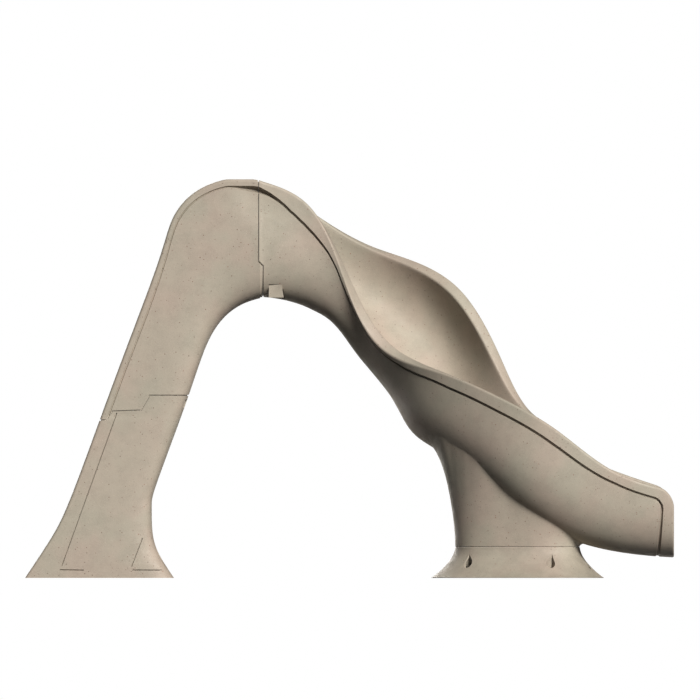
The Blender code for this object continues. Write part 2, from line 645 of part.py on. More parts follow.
def make_pedestal(parts, cutters, finish):
    """The flared base: open underneath inside a flat flange, with a pocket over each anchor."""
    base = object_from_bmesh("pedestal_base", pedestal_shape(), parts, finish, smooth_angle=40.0)
    cavity = shape_cutter("pedestal_cavity", pedestal_shape(WALL), cutters)
    places = pedestal_anchor_places()
    pockets = [((x, y, z + 0.10), ANCHOR_POCKET_RADIUS, 0.20, 'Z') for x, y, z in places]
    walls = [((x, y, z + 0.10 - WALL), ANCHOR_POCKET_RADIUS + WALL, 0.20, 'Z') for x, y, z in places]
    cut(base, shape_cutter("pedestal_pockets", box_shape((), pockets), cutters))
    cut(cavity, shape_cutter("pedestal_pocket_walls", box_shape((), walls), cutters))
    cut(base, cavity)
    opening = bmesh.new()
    low = [opening.verts.new(p) for p in leg_outline(-0.05, FLARE - FLANGE)]
    high = [opening.verts.new(p) for p in leg_outline(OPEN_FOOT_Z, FLARE - FLANGE)]
    quads_between(opening, low, high)
    opening.faces.new(low)
    opening.faces.new(high)
    for x, y, z in pedestal_bolt_places():
        add_cylinder(opening, (x, y, LEG_SEAM_Z), BOLT_CLEARANCE, 0.05)
    for x, y, z in places:
        add_cylinder(opening, (x, y, ANCHOR_FLOOR_Z), BOLT_CLEARANCE, 0.02)
    add_cylinder(opening, (*LEG_CENTRE, LEG_SEAM_Z), PEDESTAL_DRAIN_RADIUS, 0.06, sides=24)
    cut(base, shape_cutter("pedestal_holes", opening, cutters))


# ---------------------------------------------------------------- turned pieces and hardware
def turned(name, outline, finish, parts, place, turn=None, closed=False, steps=8):
    """A turned piece: an (radius, height) outline, down its outer side, turned round its own Z."""
    shape = bmesh.new()
    verts = [shape.verts.new((r, 0.0, h)) for r, h in outline]
    for a, b in zip(verts, verts[1:]):
        shape.edges.new((a, b))
    if closed:
        shape.edges.new((verts[-1], verts[0]))
    mesh = bpy.data.meshes.new(name)
    shape.to_mesh(mesh)
    shape.free()
    mesh.materials.append(finish)
    made = bpy.data.objects.new(name, mesh)
    parts.objects.link(made)
    made.location = place
    if turn is not None:
        made.rotation_euler = turn
    screw = made.modifiers.new("turn", 'SCREW')
    screw.axis = 'Z'
    screw.steps = steps
    screw.render_steps = steps
    screw.use_merge_vertices = True
    screw.merge_threshold = 0.00005
    screw.use_smooth_shade = True
    return made


def bolt_outline(shank):
    """Head above the seat at height 0, shank below it."""
    return [(0.0, HEAD_HEIGHT), (HEAD_RADIUS, HEAD_HEIGHT), (HEAD_RADIUS, 0.0), (BOLT_RADIUS, 0.0),
            (BOLT_RADIUS, -shank), (0.0, -shank)]


def insert_outline(barrel):
    """A tee insert: flange above height 0, barrel below it, bored through."""
    return [(INSERT_BORE, 0.003), (INSERT_FLANGE, 0.003), (INSERT_FLANGE, 0.0), (INSERT_RADIUS, 0.0),
            (INSERT_RADIUS, -barrel), (INSERT_BORE, -barrel)]


def ring_outline(bore, outside, height):
    return [(bore, height), (outside, height), (outside, 0.0), (bore, 0.0)]


def hex_nut_outline(bore, outside, height):
    """For six steps: the hexagonal bore's flats, not its corners, clear the thread."""
    return ring_outline(bore / math.cos(math.pi / 6) + GAP, outside, height)


TO_PLUS_X = (0.0, math.pi / 2, 0.0)        # turns a piece's own +Z to +X
TO_MINUS_X = (0.0, -math.pi / 2, 0.0)
TO_PLUS_Y = (-math.pi / 2, 0.0, 0.0)
TO_MINUS_Y = (math.pi / 2, 0.0, 0.0)


def make_fasteners(parts):
    steel = material("stainless_steel", STEEL, 0.35, 1.0)
    brass = material("brass", BRASS, 0.4, 1.0)
    for number, (x, y, z) in enumerate(crown_bolt_places(), 1):
        turned("crown_bolt_%d" % number, bolt_outline(CROWN_BOLT_LENGTH), steel, parts,
               (x + GAP, y, z), TO_PLUS_X)
        turned("crown_insert_%d" % number, insert_outline(INSERT_BARREL), brass, parts,
               (CROWN_SEAM_LOW_X - WALL - 2 * GAP, y, z), TO_MINUS_X, closed=True)
    for number, (x, y, z) in enumerate(ladder_bolt_places(), 1):
        turned("ladder_bolt_%d" % number, bolt_outline(LADDER_BOLT_LENGTH), steel, parts,
               (x, y, z - GAP), (math.pi, 0.0, 0.0))
        turned("ladder_insert_%d" % number, insert_outline(INSERT_BARREL), brass, parts,
               (x, y, LADDER_SEAM_TOP_Z + WALL + 2 * GAP), closed=True)
    for number, (x, y, z) in enumerate(pedestal_bolt_places(), 1):
        turned("pedestal_bolt_%d" % number, bolt_outline(PEDESTAL_BOLT_LENGTH), steel, parts,
               (x, y, z - GAP), (math.pi, 0.0, 0.0))
        turned("pedestal_insert_%d" % number, insert_outline(INSERT_BARREL), brass, parts,
               (x, y, LEG_SEAM_Z + WALL + GAP), closed=True)
    sites = [("pedestal", place) for place in pedestal_anchor_places()]
    sites += [("ladder", place) for place in ladder_anchor_places()]
    numbers = {"pedestal": 0, "ladder": 0}
    for owner, (x, y, z) in sites:
        numbers[owner] += 1
        turned("%s_washer_%d" % (owner, numbers[owner]), ring_outline(BOLT_CLEARANCE, 0.014, WASHER_HEIGHT),
               steel, parts, (x, y, z + GAP), closed=True)
        turned("%s_anchor_%d" % (owner, numbers[owner]), bolt_outline(z + WASHER_HEIGHT + GAP), steel, parts,
               (x, y, z + WASHER_HEIGHT + 2 * GAP))


def make_water_feed(parts, cutters):
    brass = material("brass_fitting", BRASS, 0.35, 1.0)
    rubber = material("black_hose", RUBBER, 0.6)
    grey = material("grey_plastic", GREY_PLASTIC, 0.5)
    blue = material("blue_handle", BLUE_PLASTIC, 0.45)
    x, y, z = FITTING_PLACE
    outer_y = LADDER_Y + HALF_OUTER + GAP
    # the fitting's own Z points out through the wall; its flange sits on the outside
    turned("wall_fitting", [(0.007, 0.016), (0.0125, 0.016), (0.0125, 0.004), (0.024, 0.004), (0.024, 0.0),
                            (FITTING_HOLE_RADIUS - 0.0004, 0.0), (FITTING_HOLE_RADIUS - 0.0004, -0.022),
                            (0.009, -0.022), (0.009, -0.045), (0.007, -0.045)],
           brass, parts, (x, outer_y, z), TO_PLUS_Y, closed=True, steps=16)
    turned("fitting_locknut", hex_nut_outline(FITTING_HOLE_RADIUS, 0.023, 0.006), brass, parts,
           (x, outer_y - 0.018, z), TO_PLUS_Y, closed=True, steps=6)
    make_valve(parts, cutters, brass, grey, blue, (x, outer_y, z))
    inner_y = NOZZLE_PLACE[1]
    nx, nz = NOZZLE_PLACE[0], NOZZLE_PLACE[2]
    turned("spray_nozzle", [(0.0, 0.008), (0.006, 0.008), (0.014, 0.003), (0.014, 0.0), (0.0085, 0.0),
                            (0.0085, -0.030), (0.0065, -0.032), (0.0, -0.032)], grey, parts,
           (nx, inner_y - GAP, nz), TO_MINUS_Y)
    turned("nozzle_locknut", hex_nut_outline(0.0086, 0.015, 0.005), grey, parts,
           (nx, inner_y + 0.0130, nz), TO_MINUS_Y, closed=True, steps=6)
    tail = (nx, inner_y + 0.032, nz)
    hose_end = make_elbow(parts, grey, tail)
    make_hose(parts, rubber, (x, outer_y - 0.045 - GAP, z), hose_end)


def make_valve(parts, cutters, brass, grey, blue, seat):
    """Quarter-turn valve on the wall fitting; everything that turns hangs on an empty on its axis."""
    x, y, z = seat
    start = y + 0.016 + GAP
    centre = start + VALVE_LENGTH / 2
    body = turned("valve_body", [(VALVE_BORE, VALVE_LENGTH), (0.0125, VALVE_LENGTH), (0.0125, 0.036),
                                 (0.0185, 0.033), (0.0185, 0.007), (0.015, 0.0), (VALVE_BORE, 0.0),
                                 (VALVE_BORE, VALVE_LENGTH / 2 - 0.0118), (0.0150, VALVE_LENGTH / 2 - 0.0060),
                                 (0.0150, VALVE_LENGTH / 2 + 0.0060), (VALVE_BORE, VALVE_LENGTH / 2 + 0.0118)],
                  brass, parts, (x, start, z), TO_PLUS_Y, closed=True, steps=16)
    stem_hole = bmesh.new()
    add_cylinder(stem_hole, (x, centre, z + 0.015), 0.0044, 0.03)
    cut(body, shape_cutter("valve_stem_hole", stem_hole, cutters))
    axis = bpy.data.objects.new("valve_axis", None)
    axis.location = (x, centre, z)
    parts.objects.link(axis)
    ball_shape = bmesh.new()
    bmesh.ops.create_uvsphere(ball_shape, u_segments=16, v_segments=10, radius=0.0125)
    ball = object_from_bmesh("valve_ball", ball_shape, parts, grey, smooth_angle=60.0)
    stem_shape = bmesh.new()
    add_cylinder(stem_shape, (0.0, 0.0, 0.020), 0.004, 0.030)
    stem = as_cutter(object_from_bmesh("valve_stem_union", stem_shape, cutters))
    bore_shape = bmesh.new()
    add_cylinder(bore_shape, (0.0, 0.0, 0.0), 0.0065, 0.05, 'X')
    bore = as_cutter(object_from_bmesh("valve_ball_bore", bore_shape, cutters))
    cut(ball, stem, 'UNION')
    cut(ball, bore)
    handle_shape = bmesh.new()
    add_box(handle_shape, (-0.009, -0.009, 0.021), (0.070, 0.009, 0.027))
    handle = object_from_bmesh("valve_handle", handle_shape, parts, blue)
    hole_shape = bmesh.new()
    add_cylinder(hole_shape, (0.0, 0.0, 0.024), 0.0042, 0.03)
    hole = as_cutter(object_from_bmesh("handle_hole", hole_shape, cutters))
    cut(handle, hole)
    nut = turned("handle_nut", hex_nut_outline(0.0042, 0.008, 0.005), grey, parts, (0.0, 0.0, 0.027 + GAP),
                 closed=True, steps=6)
    for piece in (ball, stem, bore, handle, hole, nut):
        piece.parent = axis


def tube(name, points, radius, finish, parts):
    """A round tube with closed ends, along a list of points."""
    line = bpy.data.curves.new(name, 'CURVE')
    line.dimensions = '3D'
    line.bevel_depth = radius
    line.bevel_resolution = 2
    line.use_fill_caps = True
    spline = line.splines.new('POLY')
    spline.points.add(len(points) - 1)
    for point, place in zip(spline.points, points):
        point.co = (*place, 1.0)
    line.materials.append(finish)
    parts.objects.link(bpy.data.objects.new(name, line))


def make_elbow(parts, finish, tail):
    """The elbow behind the nozzle, from the nozzle's tail round to straight down; returns its lower end."""
    x, y, z = tail
    points = [(x, y, z)]
    for k in range(7):
        angle = math.pi / 2 * k / 6
        points.append((x, y + 0.002 + ELBOW_BEND * math.sin(angle), z - ELBOW_BEND * (1.0 - math.cos(angle))))
    low = (x, points[-1][1], z - ELBOW_DROP)
    tube("nozzle_elbow", points + [low], ELBOW_RADIUS, finish, parts)
    return (x, low[1], low[2] - GAP)


def make_hose(parts, finish, start, end):
    """The feed hose, from the wall fitting's tail up inside the ladder to the elbow."""
    route = [start] + HOSE_ROUTE + [end]
    curves = [cubic([p[axis] for p in route]) for axis in range(3)]
    count = 46
    points = [[curve((len(route) - 1) * k / (count - 1)) for curve in curves] for k in range(count)]
    tube("feed_hose", points, HOSE_RADIUS, finish, parts)


def main():
    clear_scene()
    parts = new_collection("pool_slide")
    cutters = new_collection("cutters")
    make_mouldings(parts, cutters)
    make_fasteners(parts)
    make_water_feed(parts, cutters)


main()
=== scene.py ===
"""Looks of the moulded pool slide: fine shells, real fasteners, materials, light and camera.

Metres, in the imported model's frame: +X runs from the ladder to the exit, and -Y faces the camera.
The ladder and the flume are one lofted skin of U-shaped loops, joined to the leg and cut at the seams.
The inserts and the water feed show as the CAD made them.
"""
import math

import bpy
import bmesh
import numpy as np
from mathutils import Matrix, Vector
from mathutils.bvhtree import BVHTree


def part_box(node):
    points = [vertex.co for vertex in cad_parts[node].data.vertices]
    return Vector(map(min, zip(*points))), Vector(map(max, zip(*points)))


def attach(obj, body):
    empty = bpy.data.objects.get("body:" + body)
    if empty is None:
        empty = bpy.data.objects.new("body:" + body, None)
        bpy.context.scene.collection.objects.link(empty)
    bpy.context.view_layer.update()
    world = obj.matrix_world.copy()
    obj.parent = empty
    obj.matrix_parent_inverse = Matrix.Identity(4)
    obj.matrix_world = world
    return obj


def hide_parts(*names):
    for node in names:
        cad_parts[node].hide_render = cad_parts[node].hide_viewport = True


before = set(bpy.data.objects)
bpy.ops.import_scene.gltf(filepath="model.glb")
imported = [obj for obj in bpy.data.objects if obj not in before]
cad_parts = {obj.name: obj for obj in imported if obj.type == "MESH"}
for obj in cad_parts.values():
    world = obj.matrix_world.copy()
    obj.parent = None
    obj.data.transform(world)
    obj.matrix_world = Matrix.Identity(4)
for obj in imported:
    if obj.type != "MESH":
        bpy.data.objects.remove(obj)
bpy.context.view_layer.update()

UP = Vector((0.0, 0.0, 1.0))

# ---- the design's own dimensions
WALL = 0.006  # skin of the shells
HALF_OUTER = 0.305  # half width of the ladder over its side walls
HALF_INNER = 0.235  # half width of the climbing space
LADDER_Y = 0.25  # centre line of the ladder
TREAD_RISE = 0.265
TREAD_COUNT = 6
SEAT_Z = 1.86
CROWN_TOP = 2.2578
TREAD_LIP = 0.09  # from the front edge back to a tread's lip
TREAD_ROOT = 0.24  # and to the corner behind it
SILL_Z = 0.05
SILL_DEPTH = 0.012
INNER_POWER = 9.0  # squareness of the climbing space
FAN_X, FAN_Z = -0.507, 1.20  # pivot of the cross-sections round the crown
STEEP_FRONT_TOP = 2.0  # below these heights an outline has one x for each z
STEEP_BACK_TOP = FAN_Z + 0.3
CUT_LEFT, CUT_RIGHT, CUT_BOTTOM, CUT_TOP = -2.2, 2.4, -0.5, 2.6  # well outside the slide
THROUGH = (-1.2, 1.2)  # y range that takes in all of it
LADDER_SEAM_END = -0.80
SEAM_X = -0.516  # the crown's seam, which steps towards the exit lower down
SEAM_STEP = 0.026
SEAM_STEP_Z = 1.78
RIM_WIDTH = 0.0685
LADDER_SEAM_TOP_Z = 1.034
LEG_SEAM_Z = 0.1756
LEG_CENTRE = (0.952, -0.240)
LEG_HALF = (0.352, 0.205)
LEG_TURN = math.radians(-12.0)
LEG_POWER = 2.8
FLARE = 0.132  # how far the base's foot stands out from the leg
FLARE_POWER = 1.75
FLANGE = 0.060
FLANGE_HEIGHT = 0.012
FRONT_EDGE = (
    (-1.838, 0.0), (-1.700, 0.210), (-1.585, 0.440), (-1.415, 0.895), (-1.250, 1.340), (-1.082, 1.795),
    (-0.999, 2.042), (-0.873, 2.187), (-0.700, 2.257), (-0.560, 2.260), (-0.460, 2.240))
BACK_EDGE = (
    (-0.994, 0.0), (-1.062, 0.105), (-1.112, 0.235), (-1.120, 0.400), (-1.085, 0.555), (-0.920, 1.008),
    (-0.796, 1.348), (-0.665, 1.515), (-0.535, 1.577), (-0.460, 1.590))
NEAR_RIM = (
    (-0.507, 0.015, 2.250), (-0.250, 0.040, 2.124), (-0.040, 0.040, 1.799), (0.190, 0.015, 1.372),
    (0.540, -0.215, 1.164), (0.905, -0.450, 0.995), (1.190, -0.540, 0.822), (1.485, -0.525, 0.611),
    (1.838, -0.460, 0.493))
FAR_RIM = (
    (-0.507, 0.485, 2.250), (-0.290, 0.515, 2.128), (0.105, 0.480, 1.871), (0.576, 0.275, 1.606),
    (0.888, 0.115, 1.092), (1.080, -0.030, 0.893), (1.215, -0.075, 0.769), (1.440, -0.060, 0.631),
    (1.838, 0.005, 0.493))
FLUME_PITCH = (0.0, 19.5, 17.8, 31.2, 38.9, 38.0, 32.0, 21.0, 0.0)
OUTER_DEPTHS = (0.665, 0.570, 0.407, 0.501, 0.473, 0.450, 0.470, 0.450, 0.377)
INNER_DEPTHS = (0.390, 0.380, 0.310, 0.330, 0.350, 0.350, 0.345, 0.330, 0.300)
OUTER_POWERS = (6.0, 4.5, 3.0, 2.6, 2.6, 2.6, 2.7, 2.8, 3.0)
INNER_POWERS = (9.0, 4.5, 2.8, 2.4, 2.4, 2.4, 2.4, 2.4, 2.4)

# ---- dimensions of the fine surface
EDGE_RADIUS = 0.012  # rounding of both edges of the rim
END_RADIUS = 0.008  # rounding round the exit's end face
END_CORNER = 0.095  # the rim's corner at the exit, seen from the side
LINE_CORNER = 0.060  # the groove turns down there on this radius
NOSE_RADIUS = 0.020  # rounding of each tread's lip
ROOT_RADIUS = 0.028  # and of the corner behind it
SILL_RADIUS = 0.008
LOOP_TILT = 0.05  # a loop leaves the front edge this far below a lip, or above a corner
SILL_SPACING = 0.012  # between the rows on each part of the climbing surface
TREAD_SPACING = 0.0052
RISER_SPACING = 0.020
SEAT_SPACING = 0.0045
ROW_SPACING = 0.013  # and on the flume
FAR_AWAY = 9.0
RIB_PITCH = 0.025
RIB_HEIGHT = 0.003
RIB_HALF_WIDTH = 0.185
RIB_FRONT = 0.016  # clear of the ribs behind a tread's lip
RIB_BACK = 0.034
HALF_COLUMNS = 40  # points from the rim to the middle, inside and outside alike
ROUND_POINTS = 4  # points across each edge's rounding
SEAM_GROOVE = 0.0070  # width of the visible joint lines
PANEL_GROOVE = 0.0050
SEAM_DEPTH = 0.0080
GAP = 0.0003
SMOOTH_ANGLE = 35.0  # edges sharper than this many degrees stay sharp
FINE_ANGLE = 32.0  # and on the fasteners
SPAN_SAMPLES = 40  # samples between two points of an outline

LADDER_LINE_START = 0.038  # the rim line on the ladder, from the rim's top
LADDER_LINE_Z = 0.90  # it begins at this height
LADDER_LINE_WIDTH = 0.008
LADDER_LINE_DEPTH = 0.0095
WEDGE_X = -0.70  # from here it opens to a wedge, over this length
WEDGE_LENGTH = 0.18
WEDGE_WIDTH = 0.027
WEDGE_DEPTH = 0.035
LINE_SINK = 0.35  # the wall under a rim line lies back by this share of its depth
LINE_SLOPE = 0.2  # and each wall of the line takes this share of its width
SINK_START = 0.02  # the wall comes forward again from here
SINK_LENGTH = 0.22
END_FADE_START = 0.28  # down the exit's end the line grows shallower from here
END_FADE_LENGTH = 0.22
END_FADE = 0.7
LINE_SHARES = (0.14, 0.5, 0.86)  # where the loops have points across the line, and below it
BELOW_LINE = (0.0008, 0.004, 0.010, 0.017, 0.025, 0.034, 0.045, 0.070, 0.100)
DROP_REACH = 0.15  # the corner at the exit moves the top of its side down to here

LEG_COLUMNS = 144
LEG_RISES = 30
LEG_EDGE = 0.0040  # easing of both edges at the leg's seam
LEG_TUCK = 0.018  # how far the leg's closed top lies inside the belly
NARROW_FILLET = 0.020  # the leg's fillet away from the ladder
WIDER_FILLET = 0.165  # and how much wider it is towards the ladder
FILLET_STEP = 0.005
STEEPEST_STEP = 0.0125  # the belly may rise this much in a step
FILLET_SMOOTHINGS = 60
BASE_ROWS = 33
FOOT_THICKENING = 0.6  # the base's wall grows by this share towards its foot
FOOT_EDGE = ((0.0040, 0.0015), (0.0012, 0.0008), (0.0, 0.003))  # height, distance back
POCKET_RADIUS = 0.024  # the wells over the base's anchors
POCKET_POINT = 0.038
POCKET_FLOOR = 0.040
POCKET_HEIGHT = 0.20
POCKET_SIDES = 40


# ---- curves
def unit(step):
    return step / np.hypot(*step)


def running_length(points):
    """Distance along a line at each of its points in a plane."""
    return np.concatenate([[0.0], np.cumsum(np.hypot(*np.diff(points, axis=0).T))])


def cubic(values):
    """The natural cubic spline through values at 0, 1, 2 ..., as a function."""
    v = np.asarray(values, float)
    count = len(v)
    system = np.eye(count)
    right = np.zeros(count)
    for i in range(1, count - 1):
        system[i, i - 1:i + 2] = (1.0, 4.0, 1.0)
        right[i] = 6.0 * (v[i + 1] - 2.0 * v[i] + v[i - 1])
    bend = np.linalg.solve(system, right)

    def at(t, slope=False):
        i = int(min(max(math.floor(t), 0), count - 2))
        s = t - i
        r = 1.0 - s
        if slope:
            return v[i + 1] - v[i] + ((3 * s * s - 1) * bend[i + 1] - (3 * r * r - 1) * bend[i]) / 6.0
        return r * v[i] + s * v[i + 1] + ((r ** 3 - r) * bend[i] + (s ** 3 - s) * bend[i + 1]) / 6.0
    return at


def edge_samples(points):
    """Dense (x, z) samples of the smooth outline through the points."""
    x_of = cubic([p[0] for p in points])
    z_of = cubic([p[1] for p in points])
    steps = np.linspace(0.0, len(points) - 1, SPAN_SAMPLES * (len(points) - 1) + 1)
    return np.array([(x_of(t), z_of(t)) for t in steps])


FRONT = edge_samples(FRONT_EDGE)
FRONT[:, 1] = np.minimum(FRONT[:, 1], CROWN_TOP)
BACK = edge_samples(BACK_EDGE)
FRONT_LENGTH = running_length(FRONT)


def edge_x(samples, z, top):
    """x of an outline at height z, from its part below a top height."""
    steep = samples[samples[:, 1] < top]
    return float(np.interp(z, steep[:, 1], steep[:, 0]))


def tread_front(z):
    """x of the front edge at height z, up to the seat."""
    return edge_x(FRONT, z, STEEP_FRONT_TOP)


def edge_reach(samples, angle):
    """Distance from the crown's pivot to an outline, at an angle up from the -X direction."""
    run = FAN_X - samples[:, 0]
    rise = samples[:, 1] - FAN_Z
    around = np.arctan2(rise, run)
    keep = around > -0.2
    order = np.argsort(around[keep])
    return float(np.interp(angle, around[keep][order], np.hypot(run, rise)[keep][order]))


def smooth(x):
    """From 0 to 1 with level ends, as x goes from 0 to 1."""
    x = min(max(x, 0.0), 1.0)
    return x * x * (3.0 - 2.0 * x)


def spread_points(line, count, bend=0.8):
    """count points along a dense line, closer together where it turns."""
    steps = np.diff(line, axis=0)
    length = np.hypot(steps[:, 0], steps[:, 1])
    heading = np.unwrap(np.arctan2(steps[:, 1], steps[:, 0]))
    turning = np.abs(np.diff(heading, prepend=heading[0]))
    measure = np.concatenate([[0.0], np.cumsum(length / length.sum() + bend * turning / math.pi)])
    at = np.linspace(0.0, measure[-1], count)
    return np.column_stack([np.interp(at, measure, line[:, k]) for k in range(2)])


def side_curve(half, depth, power, start):
    """Half of a U as (out, down), from start below its top to the middle of its bottom."""
    first = math.asin(min(1.0, (start / depth) ** (power / 2.0)))
    angle = np.linspace(first, math.pi / 2.0, 160)
    bend = 2.0 / power
    line = np.column_stack([half * np.cos(angle) ** bend, depth * np.sin(angle) ** bend])
    line[-1] = (0.0, depth)
    return line


def rim_round(side, sign, radius, inset):
    """The rounding of the rim's inner edge (sign 1) or outer edge (sign -1), as (out, down)."""
    turn = np.linspace(0.0, math.pi / 2.0, ROUND_POINTS)
    out = side + sign * radius * (1.0 - np.sin(turn))
    return np.column_stack([out, inset + radius * (1.0 - np.cos(turn))])


def quarter_dip(radius, distance):
    """How far a quarter circle falls below its tangent, at a distance from its steep end."""
    if distance >= radius:
        return 0.0
    return radius - math.sqrt(max(radius ** 2 - (radius - distance) ** 2, 0.0))


# ---- the loops
class Row:
    """One cross-section: its place, the ways across and up, the two U shapes and the rim's line.

    A U is (half width, depth, power). The groove is (distance from the rim, width, depth, sink of the
    wall below it, slope). end is the distance from the exit's end face, and rib a tread rib's height.
    """

    def __init__(self, origin, across, up_in, up_out, inner, outer, groove, end=FAR_AWAY, rib=0.0):
        self.origin, self.across, self.up_in, self.up_out = origin, across, up_in, up_out
        self.inner, self.outer, self.groove, self.end, self.rib = inner, outer, groove, end, rib


def groove_depth(distance, groove, end):
    """How far the outside lies back at a distance from the rim, near the exit's end too."""
    start, width, depth, sink, slope = groove
    reach = start + LINE_CORNER
    if end < distance:
        fade = smooth((distance - END_FADE_START) / END_FADE_LENGTH)
        depth *= 1.0 - END_FADE * fade
        sink *= 1.0 - fade
    if end < reach and distance < reach:
        away = math.hypot(reach - distance, reach - end)
        distance = reach - away if away < reach else 0.0
    else:
        distance = min(distance, end)
    past = distance - start
    if past <= 0.0:
        return 0.0
    if past < width:
        edge = slope * width
        down = smooth(past / edge) * depth
        return down - smooth((past - width + edge) / edge) * (depth - sink)
    return sink * (1.0 - smooth((past - width - SINK_START) / SINK_LENGTH))


def loop_points(row, inset):
    """Half of a row's loop, from rim to middle: the trough and the outside, as (out, down)."""
    half, depth, power = row.inner
    radius = min(EDGE_RADIUS, 0.4 * depth) - inset
    wall = side_curve(half + inset, depth, power, inset + radius)
    rest = spread_points(wall, HALF_COLUMNS - ROUND_POINTS + 1)
    trough = np.vstack([rim_round(half + inset, 1.0, radius, inset), rest[1:]])
    drop = quarter_dip(END_CORNER, row.end)
    round_end = quarter_dip(END_RADIUS, row.end)
    down_share = np.clip(trough[:, 1] / depth, 0.0, 1.0)
    trough[:, 0] += round_end * (1.0 - down_share) ** 0.5
    trough[:, 1] += round_end * down_share

    out_half, out_depth, out_power = row.outer
    out_half -= inset
    out_depth -= inset
    start, width = row.groove[:2]
    downs = [EDGE_RADIUS + 0.006, 0.5 * start + 0.006, start - 0.004, start - 0.0008]
    downs += [start + share * width for share in LINE_SHARES] + [start + width + b for b in BELOW_LINE]
    band = [(out_half * (1.0 - (d / out_depth) ** out_power) ** (1.0 / out_power), d) for d in downs]
    wall = side_curve(out_half, out_depth, out_power, downs[-1])
    rest = spread_points(wall, HALF_COLUMNS - ROUND_POINTS - len(downs) + 1)[1:]
    outside = np.vstack([rim_round(out_half, -1.0, EDGE_RADIUS - inset, inset), band, rest])
    along = running_length(outside)
    along += downs[0] - along[ROUND_POINTS]
    tangent = np.gradient(outside, axis=0)
    tangent[-1] = (-1.0, 0.0)
    tangent /= np.hypot(tangent[:, 0], tangent[:, 1])[:, None]
    back = np.array([groove_depth(s, row.groove, row.end) for s in along]) + round_end
    outside[:, 0] -= tangent[:, 1] * back
    outside[:, 1] += tangent[:, 0] * back
    outside[-1, 0] = 0.0
    for line in (trough, outside):
        near_top = line[:, 1] < DROP_REACH
        line[near_top, 1] += drop * (1.0 - line[near_top, 1] / DROP_REACH)
    return trough, outside


def row_points(row, inset):
    """The closed loop of one row: near rim, trough, far rim, then back round the outside."""
    trough, outside = loop_points(row, inset)
    origin = np.array(row.origin)
    across = np.array(row.across)
    points = []
    for line, up in ((trough, np.array(row.up_in)), (outside, np.array(row.up_out))):
        near = origin - line[:, :1] * across - line[:, 1:] * up
        far = origin + line[:, :1] * across - line[:, 1:] * up
        points.append(np.vstack([near, far[-2::-1]]))
    if row.rib and not inset:
        window = np.array([smooth((RIB_HALF_WIDTH - abs(o)) / 0.01) for o in trough[:, 0]])
        window *= trough[:, 1] > 0.9 * trough[-1, 1]
        points[0][:, 2] += row.rib * np.concatenate([window, window[-2::-1]])
    return np.vstack([points[0], points[1][::-1]])


# ---- rows of the ladder
def rounded_path(corners, radii, spacing):
    """A line through corners, rounded, as (point, segment number) pairs."""
    samples = []
    count = len(corners)
    corners = [np.array(c) for c in corners]
    entry = corners[0]
    for i in range(count - 1):
        toward = corners[i + 1] - corners[i]
        length = np.hypot(*toward)
        toward = toward / length
        if i + 2 < count:
            after = unit(corners[i + 2] - corners[i + 1])
            turn = math.acos(max(-1.0, min(1.0, float(toward @ after))))
            cut = min(radii[i + 1] * math.tan(turn / 2.0), 0.4 * length)
        else:
            after, cut = toward, 0.0
        leave = corners[i + 1] - toward * cut
        steps = max(2, int(math.ceil(np.hypot(*(leave - entry)) / spacing[i])))
        for k in range(steps):
            samples.append((entry + (leave - entry) * k / steps, i))
        if cut > 0.0:
            entry = corners[i + 1] + after * cut
            for k in range(5):
                s = k / 5.0
                samples.append(((1 - s) ** 2 * leave + 2 * s * (1 - s) * corners[i + 1] + s * s * entry,
                                i if s < 0.5 else i + 1))
        else:
            samples.append((leave, i))
    return samples


def climbing_path():
    """The climbing surface's corners, and for each the length along the front edge where its loop starts,
    its rounding, and the spacing of the points after it."""
    marks = [((tread_front(0.0) + SILL_DEPTH, 0.0), 0.0, 0.0, SILL_SPACING),
             ((tread_front(SILL_Z) + SILL_DEPTH, SILL_Z), SILL_Z - 0.015, SILL_RADIUS, TREAD_SPACING),
             ((tread_front(SILL_Z) + TREAD_ROOT, SILL_Z), SILL_Z + 0.06, ROOT_RADIUS, RISER_SPACING)]
    for step in range(1, TREAD_COUNT + 1):
        z = step * TREAD_RISE
        front = tread_front(z)
        marks += [((front + TREAD_LIP, z), z - LOOP_TILT, NOSE_RADIUS, TREAD_SPACING),
                  ((front + TREAD_ROOT, z), z + LOOP_TILT, ROOT_RADIUS, RISER_SPACING)]
    lip = (tread_front(SEAT_Z) + TREAD_LIP, SEAT_Z)
    marks.append((lip, SEAT_Z - LOOP_TILT, NOSE_RADIUS, SEAT_SPACING))
    corners, heights, radii, spacing = (list(column) for column in zip(*marks))
    corners.append((FAN_X, SEAT_Z))
    radii.append(0.0)
    rising = 8 * SPAN_SAMPLES  # the front edge's first eight spans
    levels = [float(np.interp(z, FRONT[:rising, 1], FRONT_LENGTH[:rising])) for z in heights]
    levels.append(FRONT_LENGTH[int(np.argmin(np.abs(FRONT[:, 0] - FAN_X)))])
    return corners, levels, radii, spacing


def ladder_groove(place):
    """The rim line on the ladder: fine and shallow up the front edge, an open wedge at the crown."""
    x, z = place
    wedge = smooth((x - WEDGE_X) / WEDGE_LENGTH)
    width = LADDER_LINE_WIDTH + WEDGE_WIDTH * wedge
    depth = LADDER_LINE_DEPTH + 0.003 * smooth((z - 1.9) / 0.3) + WEDGE_DEPTH * wedge
    depth *= smooth((z - LADDER_LINE_Z) / 0.02)
    return (LADDER_LINE_START, width, depth, LINE_SINK * depth, LINE_SLOPE)


